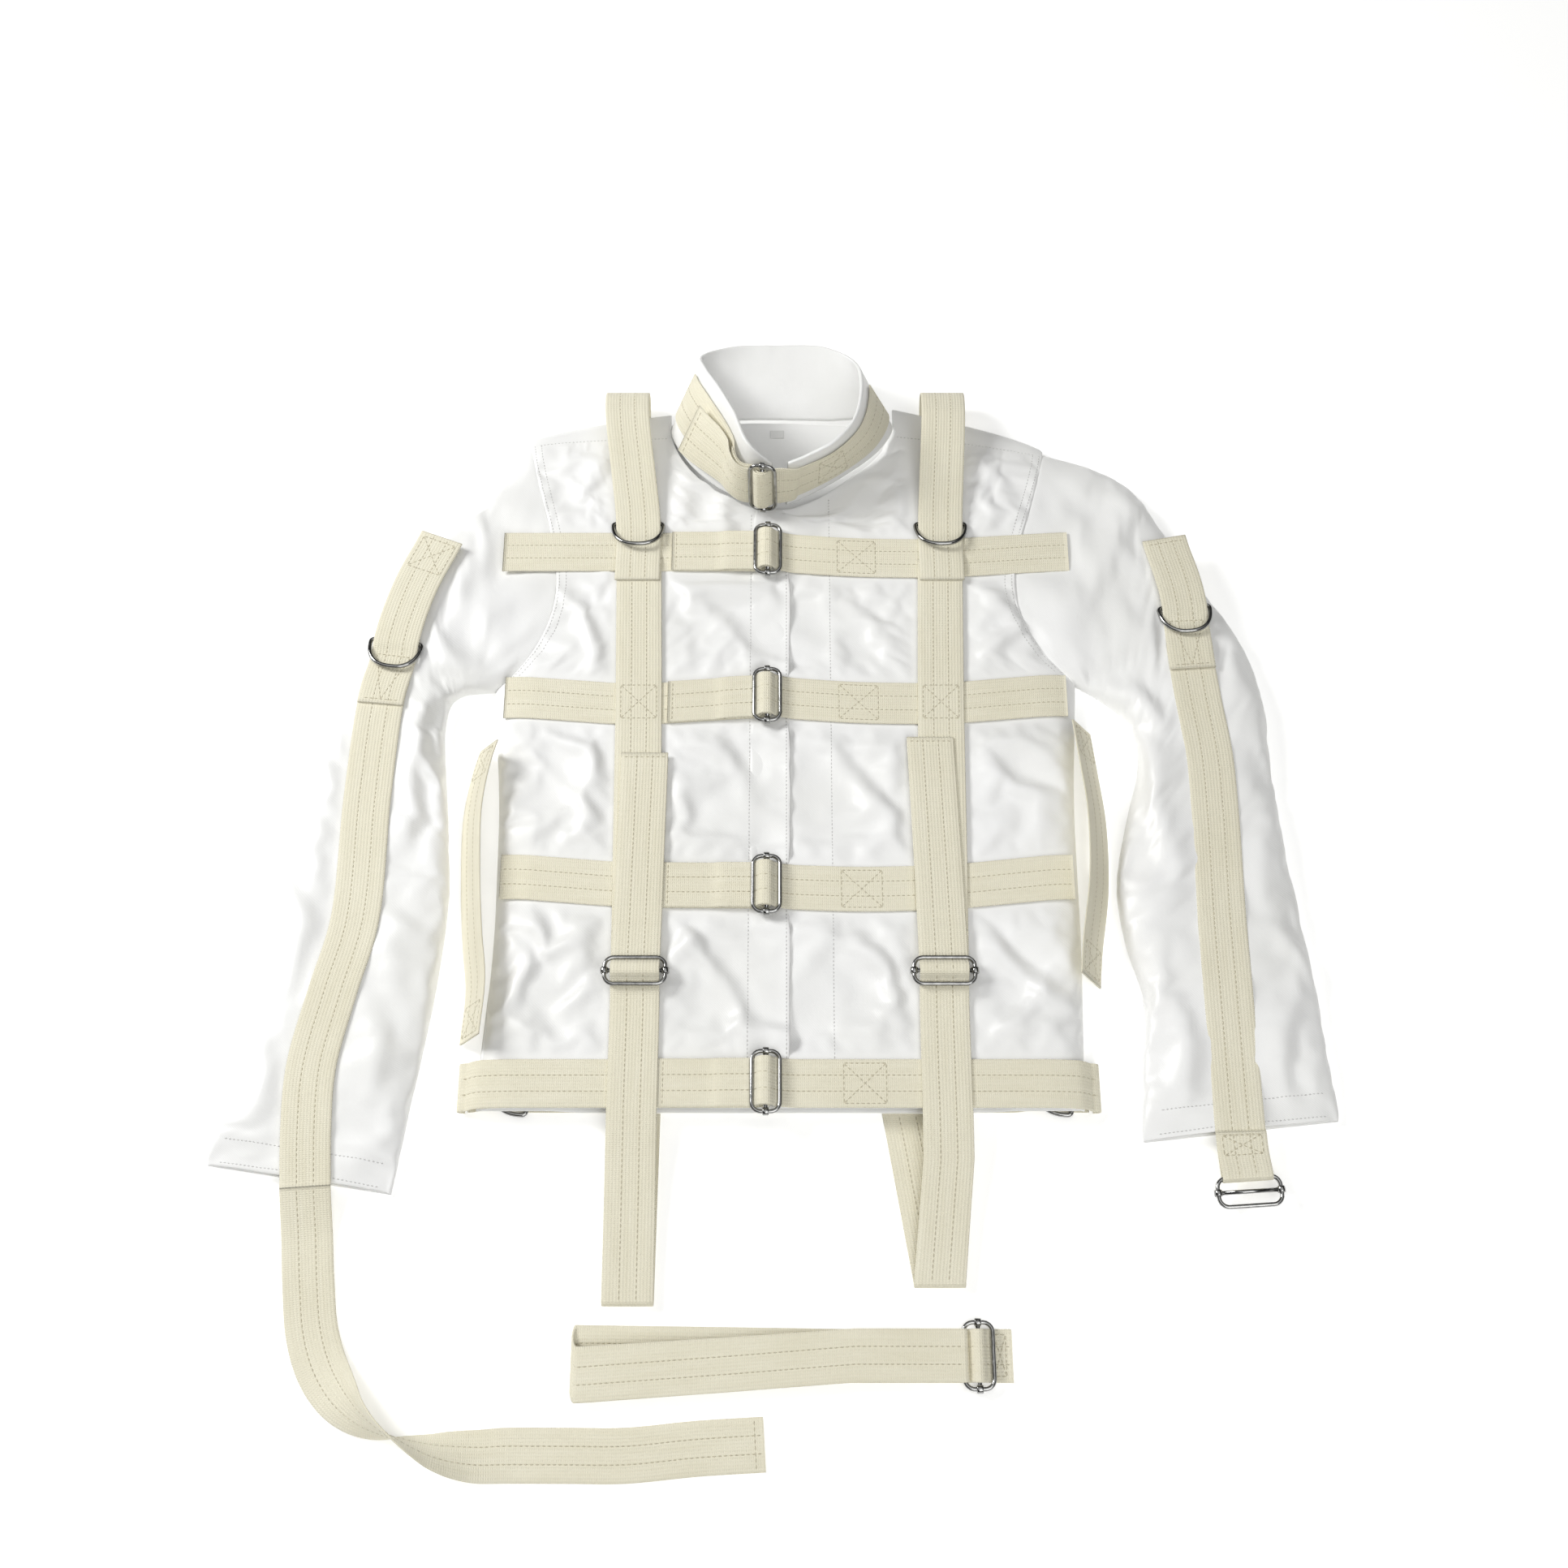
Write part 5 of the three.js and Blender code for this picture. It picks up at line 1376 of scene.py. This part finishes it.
# ---- Sleeves ----
SLEEVES = {
    "left": dict(
        outer=[(-264, 317), (-302, 279), (-332, 228), (-358, 168), (-373, 126), (-388, 60), (-401, -5), (-414, -68),
               (-427, -169), (-441, -260), (-448, -295)],
        inner=[(-260, 124), (-273, 122), (-283, 114), (-287, 88), (-285, 59), (-280, 15), (-276, -30), (-273, -68),
               (-278, -150), (-292, -250), (-301, -318)],
    ),
    "right": dict(
        outer=[(285, 356), (320, 332), (348, 287), (379, 226), (405, 175), (421, 120), (423, 40), (428, -30),
               (436, -122), (443, -205), (447, -259)],
        inner=[(274, 125), (290, 112), (305, 97), (312, 72), (310, 45), (300, 9), (286, -57), (289, -105),
               (301, -160), (296, -215), (292, -276)],
    ),
}
SLEEVE_EDGE = 2 * CLOTH + GAP
AROUND = 46
SEAM_TUCK = 1.2  # how far the sleeve starts below the body cloth
SLEEVE_FOLDS = {
    "left": [
        ([(-300, 120), (-308, 80), (-302, 55), (-294, 42), (-278, 20)], 4.5, 7, 0.6),
        ([(-307, 76), (-311, 36), (-305, 0), (-322, -45)], 4.0, 7, 0.6),
        ([(-317, -58), (-337, -80), (-311, -95), (-290, -110)], 4.5, 7, 0.6),
        ([(-395, 60), (-372, 30), (-380, -20)], 3.0, 8, 0.5),
        ([(-410, -60), (-385, -95), (-395, -150)], 3.2, 8, 0.5),
        ([(-330, -150), (-318, -200), (-325, -260)], 3.2, 8, 0.5),
        ([(-420, -180), (-405, -220), (-415, -270)], 3.2, 8, 0.5),
        ([(-280, 290), (-290, 250), (-280, 200)], 2.6, 9, 0.4),
    ],
    "right": [
        ([(327, 262), (337, 215), (333, 170), (335, 140), (340, 95)], 5.5, 8, 0.7),
        ([(345, -70), (358, -105), (346, -122)], 4.5, 7, 0.6),
        ([(348, -124), (382, -160)], 4.2, 7, 0.6),
        ([(412, -100), (423, -115), (447, -155)], 3.6, 7, 0.6),
        ([(300, 130), (318, 110), (330, 80)], 4.0, 7, 0.6),
        ([(400, 160), (385, 100), (395, 30)], 2.8, 9, 0.5),
        ([(325, 60), (318, 10), (330, -50)], 3.4, 8, 0.5),
        ([(320, -150), (330, -200), (322, -250)], 3.2, 8, 0.5),
        ([(410, -180), (400, -220), (412, -255)], 3.0, 8, 0.5),
    ],
}


def under_chest_belt(flat):
    """How high cloth may stand where the ends of the chest belt cross the armhole seams."""
    route, _ = BELTS["chest_belt"]
    aside = np.abs(flat[:, 1] - along(route, flat[:, 0])) - WEB_WIDTH / 2
    beyond = np.maximum(route[0][0] - flat[:, 0], flat[:, 0] - route[-1][0])
    return BELT_LOW - 1.6 + 0.4 * np.maximum(0, np.maximum(aside, beyond) - 3)


def keep_under_belt(piece):
    """Presses settled cloth back under the chest belt's ends."""
    spots = np.array([v.co[:] for v in piece.data.vertices])
    spots[:, 2] = np.minimum(spots[:, 2], under_chest_belt(spots[:, :2] / MM) * MM)
    piece.data.vertices.foreach_set("co", spots.ravel())
    piece.data.update()


def sleeve(name):
    side = SIDES[name]
    outer = Line(SLEEVES[name]["outer"])
    inner = Line(SLEEVES[name]["inner"])
    route = np.array(SLEEVE_ROUTES[name], float)
    last = len(SLEEVES[name]["outer"])
    rows = []
    for row in [*steps(0, 1, 6)[:-1], *steps(1, last, 108)]:
        blend_in = min(1.0, row)
        share = max(0.0, row - 1) / (last - 1)
        line = []
        for k in range(AROUND):
            turn = 2 * math.pi * k / AROUND
            t = (1 - math.cos(turn)) / 2
            upper = turn <= math.pi
            spot = lerp(outer.at(share)[:2], inner.at(share)[:2], t)
            bow = along([(1, 0.35), (2, 0)], row) * ARMHOLE_BOW * math.sin(math.pi * t)
            spot = spot - np.array([side["out"] * bow, 0])
            spot = lerp(armhole(side, t, -1.6), spot, blend_in)
            seam = TORSO_TOP - GAP
            height = along([(0, seam), (1, seam), (3, SLEEVE_TOP), (last - 2, SLEEVE_TOP), (last, CUFF_TOP)], row)
            crown = (1 - abs(2 * t - 1) ** 3) ** (1 / 3)
            top = lerp(SLEEVE_EDGE * 0.55, height, crown) - SEAM_TUCK * max(0.0, 1 - row)
            line.append((*spot, top if upper else 0.4 + SLEEVE_EDGE * 0.45 * (1 - crown)))
        rows.append(line)
    points = np.array([p for row in rows for p in row])
    flat = points[:, :2]
    away = np.full(len(points), 1e9)
    for a, b in zip(route, route[1:]):
        length = np.linalg.norm(b - a)
        t = np.clip((flat - a) @ (b - a) / length**2, 0, 1)
        away = np.minimum(away, np.linalg.norm(flat - (a + t[:, None] * (b - a)), axis=1))
    clear = ramp_up(away, 21, 40)
    turn = np.tile(np.arange(AROUND) / AROUND, len(rows))
    on_top = np.clip(np.sin(2 * math.pi * turn), 0, 1) ** 0.35
    ends = ramp_up(np.repeat(np.arange(len(rows)), AROUND), 0, 7)
    ends *= lerp(0.35, 1, ramp_up(np.repeat(np.arange(len(rows))[::-1], AROUND), 0, 8))
    lift = fold_field(flat, SLEEVE_FOLDS[name])
    lift *= 1.5
    lift += 3.0 * crumple(flat, 58, 2.2 if name == "left" else 6.4, (1.4, 0.7))
    lift += 0.8 * crumple(flat, 26, 9.1, (1, 1.4))
    free = clear * on_top * ends
    points[:, 2] += np.where(on_top > 0, free * (1.6 + lift), 0)
    points[:, 2] = np.clip(points[:, 2], 0.3, under_chest_belt(flat))
    piece = mesh_piece(f"sleeve_{name}_cloth", points, grid_faces(len(rows), AROUND, closed=True), [WHITE], f"sleeve_{name}")
    settle(piece, np.where(free < 0.12, 1, 0), cap=3.8)
    keep_under_belt(piece)
    flip = piece.data
    flip.flip_normals()
    thicken(piece)
    return piece


left_sleeve = sleeve("left")
right_sleeve = sleeve("right")


# ---- The collar's cloth ----
def collar_cloth():
    """Outer face up, over the rolled rim, and down inside, as one grid along the collar."""
    rows = []
    rise = [*steps(0, 0.96, 12), 0.985]
    inside = -1.4
    for share in steps(0, 1, 130):
        puff = lambda up: 0.8 * math.sin(math.pi * up)
        outer = [collar_point(share, up, COLLAR_THICK + puff(up) * 0.4) for up in rise]
        rim = [collar_point(share, 1.0, off) for off in (1.5, 0.4, -0.8)]
        down = [collar_point(share, up, inside - puff(up)) for up in reversed(rise)]
        rows.append([*outer, *rim, *down])
    points = np.array([p for row in rows for p in row])
    waves = crumple(points[:, :2] + points[:, 2:3], 22, 4.4)
    points[:, 2] += 0.5 * waves
    columns = len(rows[0])
    piece = mesh_piece("collar_cloth", points, grid_faces(len(rows), columns, closed=True), [WHITE], "collar")
    smooth = piece.modifiers.new("smooth", "SUBSURF")
    smooth.levels = 1
    smooth.render_levels = 1
    return piece


collar = collar_cloth()


# ---- Sewing on the cloth ----
def surface(piece):
    bpy.context.view_layer.update()
    return BVHTree.FromObject(piece, bpy.context.evaluated_depsgraph_get())


def sew(name, lines, piece):
    """Stitches laid on a cloth piece from above, along lines of (x, y)."""
    tree = surface(piece)
    sewing = Sewing()
    pitch = 3.3

    def on_cloth(spot):
        hit, normal, _, _ = tree.ray_cast(Vector((spot[0] * MM, spot[1] * MM, 0.2)), Vector((0, 0, -1)))
        return (np.array(hit) / MM, np.array(normal)) if hit else None

    for points in lines:
        line = Line(points)
        count = int(line.length // pitch)
        for k in range(count):
            ends = [on_cloth(line.spot((k + t) * pitch)) for t in (0.12, 0.86)]
            if None in ends or abs(ends[0][0][2] - ends[1][0][2]) > 2.5:
                continue
            normal = ends[0][1] if ends[0][1][2] > 0 else -ends[0][1]
            sewing.stitch(ends[0][0], ends[1][0], normal)
    piece_of_thread = mesh_piece(name, sewing.points, sewing.faces, [WHITE_THREAD])
    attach(piece_of_thread, "root")


def armhole_row(name, inset):
    return [armhole(SIDES[name], t, -inset) for t in steps(0.02, 0.98, 24)]


PLACKET_STITCH = -23
FACING_SEAM = 47
sew("left_front_seams", [
    [(PLACKET_STITCH, y) for y in steps(HEM + 4, 305, 20)],
    [(CLOSING_EDGE - 2.5, y) for y in steps(HEM + 4, 300, 20)],
    armhole_row("left", 3),
    armhole_row("left", 9),
    [(-101, 386), (-160, 384), (-222, 379)],
], left_front)
sew("right_front_seams", [
    [(FACING_SEAM, y) for y in steps(HEM + 4, 322, 20)],
    armhole_row("right", 3),
    armhole_row("right", 9),
    [(110, 388), (170, 381), (238, 368)],
], right_front)


def cuff_rows(name):
    outer = np.array(SLEEVES[name]["outer"][-2:], float)
    inner = np.array(SLEEVES[name]["inner"][-2:], float)
    lines = []
    for back in (4, 22):
        ends = [e[1] + unit(e[0] - e[1]) * back for e in (outer, inner)]
        lines.append([lerp(ends[0], ends[1], t) for t in steps(0.06, 0.94, 6)])
    return lines


sew("left_cuff_seams", cuff_rows("left"), left_sleeve)
sew("right_cuff_seams", cuff_rows("right"), right_sleeve)


# ---- Size label ----
def size_label():
    low, high = (np.array(c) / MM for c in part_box("size_label"))
    columns, lines = 10, 7
    points = []
    for y in np.linspace(low[1], high[1], lines):
        for x in np.linspace(low[0], high[0], columns):
            curl = 0.5 * ((x - low[0]) / (high[0] - low[0]) - 0.5) ** 2
            points.append((x, y, high[2] + curl))
    piece = mesh_piece("size_label_cloth", points, grid_faces(lines, columns), [LABEL], "size_label")
    thicken(piece, 0.4)


size_label()


# ---- Floor and light ----
def floor():
    half = 4000
    corners = [(-half, -half, -0.4), (half, -half, -0.4), (half, half, -0.4), (-half, half, -0.4)]
    material, nodes, links, shader = new_material("floor")
    grain = texture(nodes, "Noise", 3, Detail=2)
    links.new(nodes.new("ShaderNodeTexCoord").outputs["Object"], grain.inputs["Vector"])
    colour = ramp(nodes, (0.9, 0.9, 0.89), (0.92, 0.92, 0.91))
    links.new(grain.outputs["Fac"], colour.inputs["Fac"])
    links.new(colour.outputs["Color"], shader.inputs["Base Color"])
    shader.inputs["Roughness"].default_value = 0.9
    shader.inputs["Emission Color"].default_value = (1, 1, 0.99, 1)
    shader.inputs["Emission Strength"].default_value = 0.35
    mesh_piece("floor", corners, [(0, 1, 2, 3)], [material])


def area_light(name, spot, target, size, power):
    data = bpy.data.lights.new(name, "AREA")
    data.energy = power
    data.size = size
    light = bpy.data.objects.new(name, data)
    light.location = spot
    light.rotation_euler = (Vector(target) - Vector(spot)).to_track_quat("-Z", "Y").to_euler()
    bpy.context.scene.collection.objects.link(light)


def world():
    """A bright room overhead, with a dark band towards the horizon for the wire to mirror."""
    sky = bpy.data.worlds.new("room")
    bpy.context.scene.world = sky
    sky.use_nodes = True
    nodes, links = sky.node_tree.nodes, sky.node_tree.links
    split = nodes.new("ShaderNodeSeparateXYZ")
    links.new(nodes.new("ShaderNodeTexCoord").outputs["Generated"], split.inputs[0])
    heights = nodes.new("ShaderNodeValToRGB")
    stops = heights.color_ramp.elements
    stops[0].position, stops[0].color = 0.0, (0.3, 0.3, 0.3, 1)
    stops[1].position, stops[1].color = 1.0, (1, 1, 1, 1)
    for position, grey in ((0.1, 0.05), (0.72, 0.05), (0.84, 0.55)):
        stops.new(position).color = (grey, grey, grey, 1)
    links.new(split.outputs["Z"], heights.inputs["Fac"])
    background = nodes["Background"]
    seen = nodes.new("ShaderNodeMix")
    seen.data_type = "RGBA"
    seen.inputs["B"].default_value = (0.94, 0.94, 0.93, 1)
    links.new(nodes.new("ShaderNodeLightPath").outputs["Is Camera Ray"], seen.inputs["Factor"])
    links.new(heights.outputs["Color"], seen.inputs["A"])
    links.new(seen.outputs["Result"], background.inputs["Color"])
    background.inputs["Strength"].default_value = 1.0


floor()
world()
area_light("key", (-1.9, 0.9, 1.5), (0, 0, 0), 0.9, 48)
area_light("fill", (0.8, -1.9, 2.1), (0, 0, 0), 2.2, 38)
bpy.context.scene.view_settings.view_transform = "Standard"
